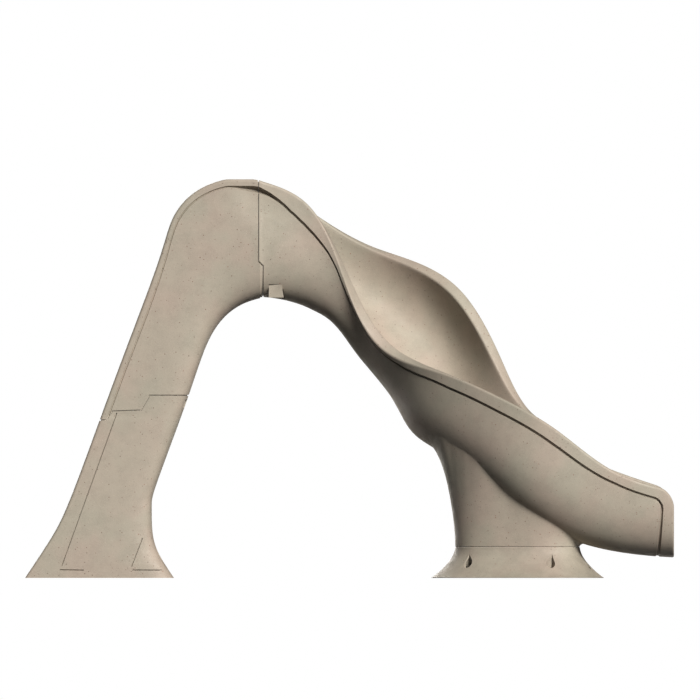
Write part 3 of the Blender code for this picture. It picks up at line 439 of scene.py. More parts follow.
def ladder_rows(inset):
    """The rows from the ladder's foot to the crown: level below its pivot, fanned round it above."""
    corners, levels, radii, spacing = climbing_path()
    samples = rounded_path(corners, radii, spacing)
    points = np.array([sample[0] for sample in samples])
    lengths = running_length(points)
    marks = [lengths[int(np.argmin(np.hypot(*(points - np.array(c)).T)))] for c in corners]
    heading = np.gradient(points, axis=0)
    heading /= np.hypot(heading[:, 0], heading[:, 1])[:, None]
    rows = []
    for (point, segment), length, course in zip(samples, lengths, heading):
        level = float(np.interp(length, marks, levels))
        place = np.array([np.interp(level, FRONT_LENGTH, FRONT[:, k]) for k in range(2)])
        floor = point + inset * np.array([course[1], -course[0]])
        into = floor - place
        depth_in = float(np.hypot(*into))
        into = into / depth_in
        up_in = Vector((-into[0], 0.0, -into[1]))
        if place[1] <= FAN_Z:
            up_out = Vector((-1.0, 0.0, 0.0))
            depth_out = edge_x(BACK, place[1], STEEP_BACK_TOP) - place[0]
        else:
            reach = math.hypot(FAN_X - place[0], place[1] - FAN_Z)
            angle = math.atan2(place[1] - FAN_Z, FAN_X - place[0])
            up_out = Vector((-math.cos(angle), 0.0, math.sin(angle)))
            depth_out = reach - edge_reach(BACK, angle)
        squareness = 10.0 - 4.0 * smooth((place[1] - 1.0) / 0.9)
        rib = 0.0
        if segment % 2 == 1 and segment < 2 * TREAD_COUNT + 3:
            front = corners[segment][0] + RIB_FRONT
            into_tread = point[0] - front
            run = corners[segment + 1][0] - front - RIB_BACK
            if 0.0 <= into_tread <= run:
                rib = RIB_HEIGHT * (0.5 - 0.5 * math.cos(2.0 * math.pi * into_tread / RIB_PITCH)) ** 1.5
        rows.append(Row(Vector((place[0], LADDER_Y, place[1])), Vector((0.0, 1.0, 0.0)), up_in, up_out,
                        (HALF_INNER, depth_in, INNER_POWER), (HALF_OUTER, depth_out, squareness),
                        ladder_groove(place), rib=rib))
    return rows


# ---- rows of the flume
NEAR_CURVE = [cubic([p[k] for p in NEAR_RIM]) for k in range(3)]
FAR_CURVE = [cubic([p[k] for p in FAR_RIM]) for k in range(3)]
PITCH, OUTER_DEPTH, INNER_DEPTH, OUTER_POWER, INNER_POWER_AT = (
    cubic(values) for values in (FLUME_PITCH, OUTER_DEPTHS, INNER_DEPTHS, OUTER_POWERS, INNER_POWERS))
LAST = len(NEAR_RIM) - 1
BELLY_TRIM = ((2.12, 0.46, -0.013), (2.76, 0.56, 0.020))  # place along the flume, reach, size
GROOVE_AT = (
    0.0, 0.2, 0.5, 0.75, 1.0, 1.25, 1.5, 1.75, 2.0, 2.4, 3.0, 3.4, 3.8,
    4.3, 5.0, 6.0, 6.5, 7.1, 8.0)
GROOVE_START = (
    0.038, 0.048, 0.072, 0.092, 0.098, 0.092, 0.076, 0.054, 0.038, 0.029, 0.028, 0.032, 0.052,
    0.070, 0.073, 0.072, 0.066, 0.054, 0.062)
GROOVE_WIDTH = (
    0.035, 0.024, 0.017, 0.016, 0.016, 0.016, 0.016, 0.015, 0.015, 0.014, 0.014, 0.014, 0.015,
    0.015, 0.015, 0.016, 0.016, 0.015, 0.014)
GROOVE_DEPTH = (
    0.045, 0.036, 0.021, 0.020, 0.020, 0.020, 0.020, 0.018, 0.017, 0.016, 0.016, 0.016, 0.018,
    0.020, 0.020, 0.020, 0.020, 0.019, 0.018)


def belly_trim(t):
    """Small corrections to the belly's depth: fuller under the bend, and flatter just before it."""
    return sum(size * max(0.0, 1.0 - ((t - at) / reach) ** 2) ** 2 for at, reach, size in BELLY_TRIM)


def flume_row(t):
    """The flume's row at a place between the rims' points."""
    near = Vector([curve(t) for curve in NEAR_CURVE])
    far = Vector([curve(t) for curve in FAR_CURVE])
    ahead = [a(t, slope=True) + b(t, slope=True) for a, b in zip(NEAR_CURVE, FAR_CURVE)]
    heading = math.atan2(ahead[1], ahead[0]) * smooth(t / 0.5)
    pitch = math.radians(PITCH(t))
    across = (far - near).normalized()
    tip = math.sin(pitch)
    lean = Vector((tip * math.cos(heading), tip * math.sin(heading), math.cos(pitch)))
    up = (lean - across * lean.dot(across)).normalized()
    half = (far - near).length / 2.0
    middle = (near + far) / 2.0
    start, width, depth = (float(np.interp(t, GROOVE_AT, values))
                           for values in (GROOVE_START, GROOVE_WIDTH, GROOVE_DEPTH))
    return Row(middle, across, up, up, (half, INNER_DEPTH(t), INNER_POWER_AT(t)),
               (half + RIM_WIDTH, OUTER_DEPTH(t) + belly_trim(t), OUTER_POWER(t)),
               (start, width, depth, LINE_SINK * depth, LINE_SLOPE),
               end=max(NEAR_RIM[-1][0] - middle.x, 0.0))


def flume_rows():
    """The flume's rows, evenly along its middle line and closer together at the exit."""
    dense = np.linspace(0.0, LAST, 1601)
    middles = [np.array([(a(t) + b(t)) / 2.0 for a, b in zip(NEAR_CURVE, FAR_CURVE)]) for t in dense]
    steps = [np.linalg.norm(b - a) for a, b in zip(middles, middles[1:])]
    length = np.concatenate([[0.0], np.cumsum(steps)])
    total = length[-1]
    from_end = [0.0, 0.0008, 0.0025, 0.005, 0.008, 0.014, 0.022, 0.031, 0.040, 0.050, 0.056]
    from_end += [0.059 + 0.0035 * k for k in range(22)]
    body = total - from_end[-1]
    count = int(body / ROW_SPACING)
    places = [body * k / count for k in range(1, count)]
    places += [total - b for b in from_end[::-1]]
    return [flume_row(float(np.interp(s, length, dense))) for s in places]


# ---- meshes
def linked(name, data):
    made = bpy.data.objects.new(name, data)
    bpy.context.scene.collection.objects.link(made)
    return made


def mesh_object(name, vertices, faces, smooth_angle=SMOOTH_ANGLE):
    mesh = bpy.data.meshes.new(name)
    mesh.from_pydata([tuple(v) for v in vertices], [], faces)
    mesh.validate()
    shape = bmesh.new()
    shape.from_mesh(mesh)
    bmesh.ops.recalc_face_normals(shape, faces=shape.faces)
    shape.to_mesh(mesh)
    shape.free()
    finish_shading(mesh, smooth_angle)
    return linked(name, mesh)


def finish_shading(mesh, smooth_angle):
    mesh.shade_smooth()
    mesh.set_sharp_from_angle(angle=math.radians(smooth_angle))


def band_faces(loops, width):
    """The faces between neighbouring loops of a skin, each loop closed on itself."""
    faces = []
    for i in range(loops - 1):
        for k in range(width):
            n = (k + 1) % width
            faces.append((i * width + k, i * width + n, (i + 1) * width + n, (i + 1) * width + k))
    return faces


def ring_stack(name, rings, smooth_angle=SMOOTH_ANGLE):
    """A closed skin over a stack of rings, closed by a flat face at both ends."""
    count = len(rings[0])
    last = (len(rings) - 1) * count
    faces = [tuple(range(count)), tuple(range(last, last + count))] + band_faces(len(rings), count)
    return mesh_object(name, [point for ring in rings for point in ring], faces, smooth_angle)


def slide_solid(name, inset=0.0):
    """The ladder and the flume as one closed skin, without the leg."""
    rows = ladder_rows(inset) + flume_rows()
    grid = np.array([row_points(row, inset) for row in rows])
    count, width = grid.shape[:2]
    faces = band_faces(count, width)
    for base in (0, (count - 1) * width):
        for k in range(width // 2 - 1):
            faces.append((base + k, base + k + 1, base + width - 2 - k, base + width - 1 - k))
    return mesh_object(name, grid.reshape(-1, 3), faces)


def boolean(target, cutter, operation='DIFFERENCE', keep=False):
    """Cut or join once, at once; the cutter goes unless it is kept."""
    modifier = target.modifiers.new("cut", 'BOOLEAN')
    modifier.operation = operation
    modifier.object = cutter
    modifier.solver = 'MANIFOLD'
    evaluated = target.evaluated_get(bpy.context.evaluated_depsgraph_get())
    mesh = bpy.data.meshes.new_from_object(evaluated)
    target.modifiers.clear()
    old = target.data
    target.data = mesh
    bpy.data.meshes.remove(old)
    if not keep:
        bpy.data.objects.remove(cutter, do_unlink=True)
    return target


def prism(name, outline, ends=THROUGH):
    """An upright outline in the XZ plane, drawn out between two values of y."""
    count = len(outline)
    vertices = [(x, y, z) for y in ends for x, z in outline]
    faces = [tuple(range(count)), tuple(range(2 * count - 1, count - 1, -1))]
    for k in range(count):
        n = (k + 1) % count
        faces.append((k, count + k, count + n, n))
    return mesh_object(name, vertices, faces)


def cylinder(name, centre, radius, length):
    """An upright cylinder."""
    shape = bmesh.new()
    bmesh.ops.create_cone(shape, cap_ends=True, segments=48, radius1=radius, radius2=radius,
                          depth=length, matrix=Matrix.Translation(centre))
    mesh = bpy.data.meshes.new(name)
    shape.to_mesh(mesh)
    shape.free()
    return linked(name, mesh)


def ladder_seam(offset):
    """The seam between the ladder's two halves, raised by an offset, as (x, z) points to the right."""
    steps = ((CUT_LEFT, 0.894), (-1.380, 0.894), (-1.343, 0.944), (-1.181, 0.950),
             (-1.132, LADDER_SEAM_TOP_Z), (LADDER_SEAM_END, LADDER_SEAM_TOP_Z))
    return [(x, z + offset) for x, z in steps]


def crown_seam(offset):
    """The seam between ladder and flume, moved right by an offset, as (x, z) points downwards."""
    low_x = SEAM_X + SEAM_STEP
    steps = ((SEAM_X, CUT_TOP), (SEAM_X, SEAM_STEP_Z + 0.014), (low_x, SEAM_STEP_Z - 0.012),
             (low_x, CUT_BOTTOM))
    return [(x + offset, z) for x, z in steps]


# ---- leg and base
def leg_point(angle, spread=0.0):
    """A point (x, y) of the leg's outline, and the outward direction there."""
    def place(a):
        along, aside = (math.copysign(abs(s) ** (2.0 / LEG_POWER), s) * (half + spread)
                        for s, half in zip((math.cos(a), math.sin(a)), LEG_HALF))
        return Matrix.Rotation(LEG_TURN, 2) @ Vector((along, aside)) + Vector(LEG_CENTRE)
    ahead = place(angle + 0.01) - place(angle - 0.01)
    return place(angle), Vector((ahead.y, -ahead.x)).normalized()


def leg_angles():
    """Angles that space the outline's points evenly."""
    dense = np.linspace(0.0, 2.0 * math.pi, 2881)
    length = running_length(np.array([tuple(leg_point(a)[0]) for a in dense]))
    return np.interp(np.arange(LEG_COLUMNS) / LEG_COLUMNS * length[-1], length, dense)


def make_leg(belly):
    """The leg from its foot up into the belly, with its widest fillet on the ladder's side."""
    tree = BVHTree.FromObject(belly, bpy.context.evaluated_depsgraph_get())

    def belly_above(x, y):
        hit = tree.ray_cast(Vector((x, y, CUT_BOTTOM)), UP)
        return hit[0].z if hit[0] is not None else FAR_AWAY

    def widest(foot, out, wanted):
        """The widest fillet, up to the wanted one, that lands on the belly where it isn't steep."""
        spread = NARROW_FILLET
        height = belly_above(*(foot + out * spread))
        while spread < wanted:
            beyond = belly_above(*(foot + out * (spread + FILLET_STEP)))
            if beyond - height > STEEPEST_STEP or beyond >= FAR_AWAY:
                break
            spread += FILLET_STEP
            height = beyond
        return spread

    rings = [[] for _ in range(LEG_RISES + 3)]
    angles = leg_angles()
    fillets = []
    for angle in angles:
        foot, out = leg_point(angle)
        left = max(0.0, -(Matrix.Rotation(-LEG_TURN, 2) @ out).x)
        fillets.append(widest(foot, out, NARROW_FILLET + WIDER_FILLET * smooth(left + 0.1)))
    for _ in range(FILLET_SMOOTHINGS):
        fillets = [min(f, 0.25 * fillets[k - 1] + 0.5 * f + 0.25 * fillets[(k + 1) % LEG_COLUMNS])
                   for k, f in enumerate(fillets)]
    for angle, fillet in zip(angles, fillets):
        foot, out = leg_point(angle)
        top = foot + out * fillet
        beyond = foot + out * (fillet + 0.02)
        high = Vector((top.x, top.y, belly_above(top.x, top.y)))
        next_high = Vector((beyond.x, beyond.y, belly_above(beyond.x, beyond.y)))
        slope = (next_high - high).normalized()
        base = Vector((foot.x, foot.y, LEG_SEAM_Z + LEG_EDGE))
        reach = (high - base).length
        inside = leg_point(angle, -LEG_EDGE)[0]
        rings[0].append(Vector((inside.x, inside.y, LEG_SEAM_Z + GAP / 2)))
        for k in range(LEG_RISES + 1):
            s = (k / LEG_RISES) ** 0.8
            s2, s3 = s * s, s * s * s
            leaving = UP * reach * 0.9
            arriving = slope * min(0.9 * reach, 2.2 * fillet)
            point = (base * (2 * s3 - 3 * s2 + 1) + leaving * (s3 - 2 * s2 + s)
                     + high * (3 * s2 - 2 * s3) + arriving * (s3 - s2))
            rings[1 + k].append(point)
        rings[-1].append(high + UP * LEG_TUCK)
    centre = Vector(LEG_CENTRE)
    for share in (0.9, 0.75, 0.5, 0.25):
        places = [centre + (leg_point(angle)[0] - centre) * share for angle in angles]
        rings.append([Vector((x, y, belly_above(x, y) + LEG_TUCK)) for x, y in places])
    return ring_stack("leg", rings)


def base_rings(inset):
    """The base's rings from its top to the floor, or with an inset those of the hollow inside it."""
    rings = []
    top = LEG_SEAM_Z - GAP / 2
    angles = leg_angles()

    def ring(z, spread):
        rings.append([Vector((*leg_point(a, spread)[0], z)) for a in angles])
    if not inset:
        ring(top, -LEG_EDGE)
        ring(top - LEG_EDGE, 0.0)
    for k in range(0 if inset else 1, BASE_ROWS):
        drop = k / BASE_ROWS
        spread = FLARE * drop ** FLARE_POWER - inset * (1.0 + FOOT_THICKENING * drop)
        ring(top * (1.0 - drop) - inset * (1.0 - drop), spread)
    for z, back in ((inset, inset * (1.0 + FOOT_THICKENING)),) if inset else FOOT_EDGE:
        ring(z, FLARE - back)
    return rings


def numbered_nodes(prefix):
    """Names of the CAD nodes that start with a prefix, in the order of their numbers."""
    names = [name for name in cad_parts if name.startswith(prefix)]
    return sorted(names, key=lambda name: int(name.rsplit("_", 1)[1]))


def middle_of(node):
    low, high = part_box(node)
    return (low + high) / 2.0


def anchor_pocket(anchor, grow):
    """A drop-shaped well over an anchor, its point towards the leg, so its mouth narrows upwards."""
    turn = Matrix.Rotation(-LEG_TURN, 2)
    along, aside = turn @ Vector((anchor.x - LEG_CENTRE[0], anchor.y - LEG_CENTRE[1]))
    if abs(along) > LEG_HALF[0]:
        inward = Vector((-math.copysign(1.0, along), 0.0))
    else:
        inward = Vector((0.0, -math.copysign(1.0, aside)))
    inward = Matrix.Rotation(LEG_TURN, 2) @ inward
    side = Vector((-inward.y, inward.x))
    radius = POCKET_RADIUS + grow
    point = POCKET_POINT + grow
    tangent = math.acos(radius / point)
    outline = []
    for k in range(POCKET_SIDES + 1):
        a = tangent + (2.0 * math.pi - 2.0 * tangent) * k / POCKET_SIDES
        outline.append(inward * math.cos(a) * radius + side * math.sin(a) * radius)
    outline.append(inward * point)
    floor = POCKET_FLOOR - grow
    centre = Vector((anchor.x, anchor.y))
    return ring_stack("pocket", [[Vector((*(centre + p), z)) for p in outline]
                                 for z in (floor, floor + POCKET_HEIGHT)])


def make_base():
    """The base: hollow, with a well over each anchor and an open foot inside a flat flange."""
    base = ring_stack("pedestal_base_shell", base_rings(0.0))
    cavity = ring_stack("base_cavity", base_rings(WALL))
    for node in numbered_nodes("pedestal_anchor_"):
        boolean(base, anchor_pocket(middle_of(node), 0.0))
        boolean(cavity, anchor_pocket(middle_of(node), WALL))
    boolean(base, cavity)
    opening = [[Vector((*leg_point(a, FLARE - FLANGE)[0], z)) for a in leg_angles()]
               for z in (-0.05, FLANGE_HEIGHT)]
    boolean(base, ring_stack("foot_opening", opening))
    finish_shading(base.data, SMOOTH_ANGLE)
    return base


# ---- cutting the mouldings
def strip(line, width):
    """A thin closed outline along a line in the XZ plane."""
    line = [np.array(p) for p in line]
    left, right = [], []
    for i, point in enumerate(line):
        before = point - line[i - 1] if i else line[1] - line[0]
        after = line[i + 1] - point if i + 1 < len(line) else before
        before, after = unit(before), unit(after)
        normal = unit(np.array([-(before + after)[1], (before + after)[0]]))
        spread = width / 2.0 / max(0.5, float(normal @ np.array([-before[1], before[0]])))
        left.append(point + normal * spread)
        right.append(point - normal * spread)
    return [tuple(p) for p in left + right[::-1]]


def engrave(body, core, line, width, ends=THROUGH):
    """A groove along a line, as deep as the core lies under the skin."""
    cutter = prism("groove", strip(line, width), ends)
    boolean(cutter, core, keep=True)
    boolean(body, cutter)


SIDES = ((THROUGH[0], LADDER_Y - HALF_OUTER + 0.03), (LADDER_Y + HALF_OUTER - 0.03, THROUGH[1]))
PANEL_LINES = (((-1.318, 0.934), (-1.630, 0.068)), ((-1.640, 0.0465), (-1.505, 0.0440)),
               ((-1.173, 0.225), (-1.235, 0.064)), ((-1.228, 0.0450), (-1.060, 0.0440)))
CROWN_POCKET = ((-0.457, 1.663), (-0.380, 1.663), (-0.352, 1.50), (-0.457, 1.50))
CROWN_WEB = ((-0.457, 1.663), (-0.384, 1.663), (-0.372, 1.588), (-0.457, 1.588))
WEB_REACH = (0.222, 0.240)  # distances from the ladder's centre line
CROWN_POCKET_REACH = (0.115, 0.222)
LADDER_POCKET = ((-1.035, 0.965), (-0.80, 0.965), (-0.80, 1.010), (-1.035, 1.010))
LADDER_POCKET_REACH = (0.10, 0.255)
FOOT_WELL = (-1.065, 0.20, 0.190)  # over each of the ladder's anchors: x, reach, z
FOOT_WELL_RADIUS, FOOT_WELL_LENGTH = 0.034, 0.30


def side_prism(name, outline, reach, side):
    """A prism on one side of the ladder's centre line, between two distances from it."""
    return prism(name, outline, sorted(LADDER_Y + side * distance for distance in reach))


def add_crown_webs(body):
    """Where the crown's underside curves away, a flat upright web in front of each side's bolts."""
    for side in (-1.0, 1.0):
        boolean(body, side_prism("web", CROWN_WEB, (WEB_REACH[0] - 0.02, WEB_REACH[1]), side), 'UNION')
        boolean(body, side_prism("web_front", CROWN_WEB, (WEB_REACH[1], WEB_REACH[1] + 0.15), side))


def cut_crown_pockets(flume):
    """Behind the webs, the pockets where the crown's bolts are reached from below."""
    for side in (-1.0, 1.0):
        boolean(flume, side_prism("pocket", CROWN_POCKET, CROWN_POCKET_REACH, side))


def cut_ladder_pockets(ladder):
    """Under the ladder's seam, the pockets of its bolts, and at its foot the wells over its anchors."""
    x, reach, z = FOOT_WELL
    for side in (-1.0, 1.0):
        boolean(ladder, side_prism("pocket", LADDER_POCKET, LADDER_POCKET_REACH, side))
        place = (x, LADDER_Y + side * reach, z)
        boolean(ladder, cylinder("pocket", place, FOOT_WELL_RADIUS, FOOT_WELL_LENGTH))


def make_shells():
    """The four mouldings: one skin, grooved along its joints, then cut there."""
    body = slide_solid("slide")
    boolean(body, make_leg(body), 'UNION')
    core = slide_solid("core", SEAM_DEPTH)
    for line in (ladder_seam(0.0), crown_seam(0.0)):
        engrave(body, core, line, SEAM_GROOVE)
    for line in PANEL_LINES:
        for ends in SIDES:
            engrave(body, core, line, PANEL_GROOVE, ends)
    bpy.data.objects.remove(core, do_unlink=True)
    add_crown_webs(body)
    right = [(CUT_RIGHT, CUT_BOTTOM), (CUT_RIGHT, CUT_TOP)]
    left = [(CUT_LEFT, CUT_BOTTOM), (CUT_LEFT, CUT_TOP)]
    above = [(LADDER_SEAM_END, CUT_BOTTOM), *right, (CUT_LEFT, CUT_TOP)]
    below = [(LADDER_SEAM_END, CUT_BOTTOM), (CUT_LEFT, CUT_BOTTOM)]
    pieces = {}
    half = GAP / 2
    for name, outlines in (("ladder_lower", (ladder_seam(-half) + above,)),
                           ("ladder_upper", (ladder_seam(half) + below, crown_seam(-half) + right)),
                           ("flume", (crown_seam(half) + left,))):
        piece = linked(name + "_shell", body.data.copy())
        for outline in outlines:
            boolean(piece, prism("cutter", outline))
        pieces[name] = piece
    bpy.data.objects.remove(body, do_unlink=True)
    cut_crown_pockets(pieces["flume"])
    cut_ladder_pockets(pieces["ladder_lower"])
    pieces["pedestal_base"] = make_base()
    for name, piece in pieces.items():
        finish_shading(piece.data, SMOOTH_ANGLE)
        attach(piece, "root")
        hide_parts(name)
    return pieces


# ---- fasteners
def lathe(name, profile, sides, place, axis):
    """A turned piece from (radius, height) pairs, set on a place with its height along an axis."""
    turn = axis.to_track_quat('Z', 'Y').to_matrix().to_4x4()
    angles = [2.0 * math.pi * k / sides for k in range(sides)]
    rings = [[Vector(place) + turn @ Vector((radius * math.cos(a), radius * math.sin(a), height))
              for a in angles] for radius, height in profile]
    return ring_stack(name, rings, FINE_ANGLE)


HEAD_RADIUS = 0.0108
HEAD_HEIGHT = 0.0078
SHANK_RADIUS = 0.0056
THREAD_PITCH = 0.00175
THREAD_DEPTH = 0.0007
THREADED = 0.7  # share of the shank
SOCKET_RADIUS = 0.0050
SOCKET_DEPTH = 0.0045
WASHER_EASE = 0.0006
WASHER_HOLE = 0.0066  # radius


def make_bolt(node, axis):
    """A socket-head bolt in the place of a plain one: domed head, hexagon socket, threads."""
    low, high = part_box(node)
    middle = (low + high) / 2.0
    length = abs((high - low).dot(axis))
    seat = middle + axis * (length / 2.0 - HEAD_HEIGHT)
    shank = length - HEAD_HEIGHT
    profile = [(0.0012, -shank), (SHANK_RADIUS - 0.0012, -shank),
               (SHANK_RADIUS - 0.0004, -shank + 0.0010)]
    for k in range(int(THREADED * shank / THREAD_PITCH)):
        height = -shank + 0.0014 + k * THREAD_PITCH
        profile += [(SHANK_RADIUS - THREAD_DEPTH, height), (SHANK_RADIUS, height + 0.5 * THREAD_PITCH)]
    profile += [(SHANK_RADIUS - 0.0002, -0.25 * shank), (SHANK_RADIUS, 0.0),
                (HEAD_RADIUS - 0.0004, 0.0), (HEAD_RADIUS, 0.0005), (HEAD_RADIUS, HEAD_HEIGHT - 0.0016),
                (HEAD_RADIUS - 0.0005, HEAD_HEIGHT - 0.0005), (HEAD_RADIUS - 0.0017, HEAD_HEIGHT),
                (0.0060, HEAD_HEIGHT)]
    bolt = lathe(node + "_detail", profile, 48, seat, axis)
    recess = [(SOCKET_RADIUS, HEAD_HEIGHT - SOCKET_DEPTH), (SOCKET_RADIUS, HEAD_HEIGHT + 0.004)]
    boolean(bolt, lathe("socket", recess, 6, seat, axis))
    finish_shading(bolt.data, FINE_ANGLE)
    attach(bolt, "root")
    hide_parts(node)
    return bolt


def make_washer(node):
    """A pressed washer with eased edges round its bolt."""
    low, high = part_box(node)
    middle = (low + high) / 2.0
    outer = (high.x - low.x) / 2.0
    height = high.z - low.z
    profile = [(outer - WASHER_EASE, 0.0), (outer, WASHER_EASE), (outer, height - WASHER_EASE),
               (outer - 0.0007, height), (outer - 0.002, height)]
    washer = lathe(node + "_detail", profile, 64, (middle.x, middle.y, low.z), UP)
    boolean(washer, cylinder("hole", middle, WASHER_HOLE, 0.02))
    finish_shading(washer.data, FINE_ANGLE)
    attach(washer, "root")
    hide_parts(node)
    return washer


def make_fasteners():
    """Every bolt, anchor and washer; the axis is the way its head points."""
    pieces = []
    for prefix, axis in (("crown_bolt_", Vector((1.0, 0.0, 0.0))), ("ladder_bolt_", -UP),
                         ("pedestal_bolt_", -UP), ("pedestal_anchor_", UP), ("ladder_anchor_", UP)):
        pieces += [make_bolt(node, axis) for node in numbered_nodes(prefix)]
    for prefix in ("pedestal_washer_", "ladder_washer_"):
        pieces += [make_washer(node) for node in numbered_nodes(prefix)]
    return pieces


# ---- materials
class Nodes:
    """A node tree, with short words for the nodes that go into it."""

    def __init__(self, tree):
        self.tree = tree

    def feed(self, socket, value):
        """Sets a number or colour on the socket itself, and links anything else to it."""
        if isinstance(value, (int, float)):
            socket.default_value = value
        elif isinstance(value, tuple):
            socket.default_value = value if len(value) == len(socket.default_value) else (*value, 1.0)
        else:
            self.tree.links.new(value, socket)

    def node(self, kind, **values):
        made = self.tree.nodes.new('ShaderNode' + kind)
        for socket, value in values.items():
            self.feed(made.inputs[socket.replace("_", " ")], value)
        return made

    def spread(self, value, low, high, new_low=0.0, new_high=1.0, kind='SMOOTHSTEP'):
        node = self.node('MapRange', Value=value, From_Min=low, From_Max=high, To_Min=new_low,
                         To_Max=new_high)
        node.interpolation_type = kind
        return node.outputs["Result"]

    def axis(self, vector, which):
        return self.node('SeparateXYZ', Vector=vector).outputs[which]


class Recipe(Nodes):
    """A material's tree."""

    def __init__(self, name, metallic=0.0):
        self.material = bpy.data.materials.new(name)
        self.material.use_nodes = True
        super().__init__(self.material.node_tree)
        self.shader = next(n for n in self.tree.nodes if n.type == 'BSDF_PRINCIPLED')
        self.shader.inputs["Metallic"].default_value = metallic
        self.place = self.node('TexCoord').outputs["Object"]

    def moved(self, scale, shift=(0.0, 0.0, 0.0)):
        return self.node('Mapping', Vector=self.place, Scale=scale, Location=shift).outputs["Vector"]

    def noise(self, scale, detail=2.0, rough=0.5, place=None):
        return self.node('TexNoise', Scale=scale, Detail=detail, Roughness=rough,
                         Vector=place or self.place).outputs["Fac"]

    def math(self, operation, first, second):
        node = self.node('Math')
        node.operation = operation
        self.feed(node.inputs[0], first)
        self.feed(node.inputs[1], second)
        return node.outputs["Value"]

    def mix(self, share, first, second, blend='MIX'):
        node = self.node('Mix')
        node.data_type = 'RGBA'
        node.blend_type = blend
        for socket, value in ((0, share), (6, first), (7, second)):
            self.feed(node.inputs[socket], value)
        return node.outputs[2]

    def blend(self, mask, share, first, second):
        """Towards the second by a share of the mask."""
        return self.mix(self.math('MULTIPLY', mask, share), first, second)

    def shaded(self, colour, shade):
        return self.mix(1.0, colour, self.mix(shade, BLACK, WHITE), 'MULTIPLY')

    def specks(self, scale, size, share, shift=(0.0, 0.0, 0.0)):
        """A mask of round specks, in a share of the cells and up to a size, and a number for each."""
        cells = self.node('TexVoronoi', Scale=scale, Vector=self.moved((1.0, 1.0, 1.0), shift))
        chance = self.node('SeparateColor', Color=cells.outputs["Color"]).outputs
        reach = self.math('MULTIPLY', chance["Blue"], size)
        past = self.math('SUBTRACT', cells.outputs["Distance"], reach)
        chosen = self.math('LESS_THAN', chance["Red"], share)
        mask = self.math('MULTIPLY', self.spread(past, 0.0, 0.07, 1.0, 0.0), chosen)
        return mask, chance["Green"]

    def bump(self, height, distance, strength, under=None):
        node = self.node('Bump', Strength=strength, Distance=distance, Height=height)
        if under is not None:
            self.feed(node.inputs["Normal"], under)
        return node.outputs["Normal"]

    def end(self, colour, roughness, normal):
        for socket, value in (("Base Color", colour), ("Roughness", roughness), ("Normal", normal)):
            self.feed(self.shader.inputs[socket], value)
        return self.material


BLACK, WHITE = (0.0, 0.0, 0.0), (1.0, 1.0, 1.0)
SAND = (0.430, 0.382, 0.322)
SAND_PINK = (0.443, 0.371, 0.317)
SAND_GREEN = (0.403, 0.376, 0.314)
SPECK_DARK = (0.090, 0.062, 0.050)
SPECK_RED = (0.270, 0.135, 0.100)
SPECK_PALE = (0.640, 0.590, 0.510)
SPLASH = (0.30, 0.25, 0.20)
SCUFF = (0.60, 0.53, 0.45)
DUST = (0.45, 0.41, 0.35)


def sandstone(name, painted_shade=0.0):
    """Rotationally moulded plastic like sandstone: mottled, speckled, matte and softly pitted."""
    r = Recipe(name)
    broad = r.spread(r.noise(2.4, 3.0), 0.38, 0.62)
    other = r.spread(r.noise(3.3, 3.0, place=r.moved((1.0, 1.0, 1.0), (7.0, 3.0, 5.0))), 0.42, 0.66)
    colour = r.blend(other, 0.7, r.blend(broad, 0.7, SAND, SAND_PINK), SAND_GREEN)
    # a shaded copy lowers the clouds' range, darkening the whole piece: painted shade
    clouds = r.spread(r.noise(14.0, 4.0, 0.6), 0.30, 0.70, 0.93 - painted_shade, 1.04 - painted_shade)
    grain = r.spread(r.noise(420.0, 3.0, 0.65), 0.25, 0.75, 0.86, 1.12)
    colour = r.shaded(colour, r.math('MULTIPLY', clouds, grain))
    fine, kind = r.specks(330.0, 0.30, 0.30)
    colour = r.blend(fine, 0.55, colour, r.mix(kind, SPECK_DARK, SPECK_RED))
    pale = r.specks(240.0, 0.30, 0.16, (3.1, 1.7, 2.3))[0]
    colour = r.blend(pale, 0.50, colour, SPECK_PALE)
    large, kind = r.specks(95.0, 0.27, 0.14, (5.3, 4.1, 1.9))
    colour = r.blend(large, 0.75, colour, r.mix(kind, SPECK_DARK, SPECK_RED))
    low = r.spread(r.axis(r.place, "Z"), 0.0, 0.16, 1.0, 0.0)
    splash = r.math('MULTIPLY', low, r.spread(r.noise(9.0, 4.0, 0.7), 0.35, 0.7))
    colour = r.blend(splash, 0.16, colour, SPLASH)
    scuffs = r.spread(r.noise(5.0, 6.0, 0.75, r.moved((1.0, 1.0, 6.0), (2.0, 2.0, 2.0))), 0.60, 0.72)
    colour = r.blend(scuffs, 0.12, colour, SCUFF)
    roughness = r.spread(r.noise(22.0, 4.0, 0.6), 0.3, 0.7, 0.52, 0.70)
    pits = r.bump(r.noise(260.0, 3.0, 0.6), 0.0006, 0.55)
    return r.end(colour, roughness, r.bump(r.noise(34.0), 0.0012, 0.35, pits))


def metal(name, colour, tarnish, low_rough, high_rough, brushed):
    """A bare metal with a fine brushed grain and tarnish in patches."""
    r = Recipe(name, metallic=1.0)
    patches = r.spread(r.noise(90.0, 5.0, 0.65), 0.42, 0.68)
    grain = r.noise(900.0, 2.0, 0.5, r.moved(brushed))
    colour = r.shaded(r.blend(patches, 0.75, colour, tarnish), r.spread(grain, 0.3, 0.7, 0.86, 1.06))
    roughness = r.math('ADD', r.spread(patches, 0.0, 1.0, low_rough, high_rough),
                       r.spread(grain, 0.2, 0.8, -0.05, 0.07))
    return r.end(colour, roughness, r.bump(grain, 0.00012, 0.5))


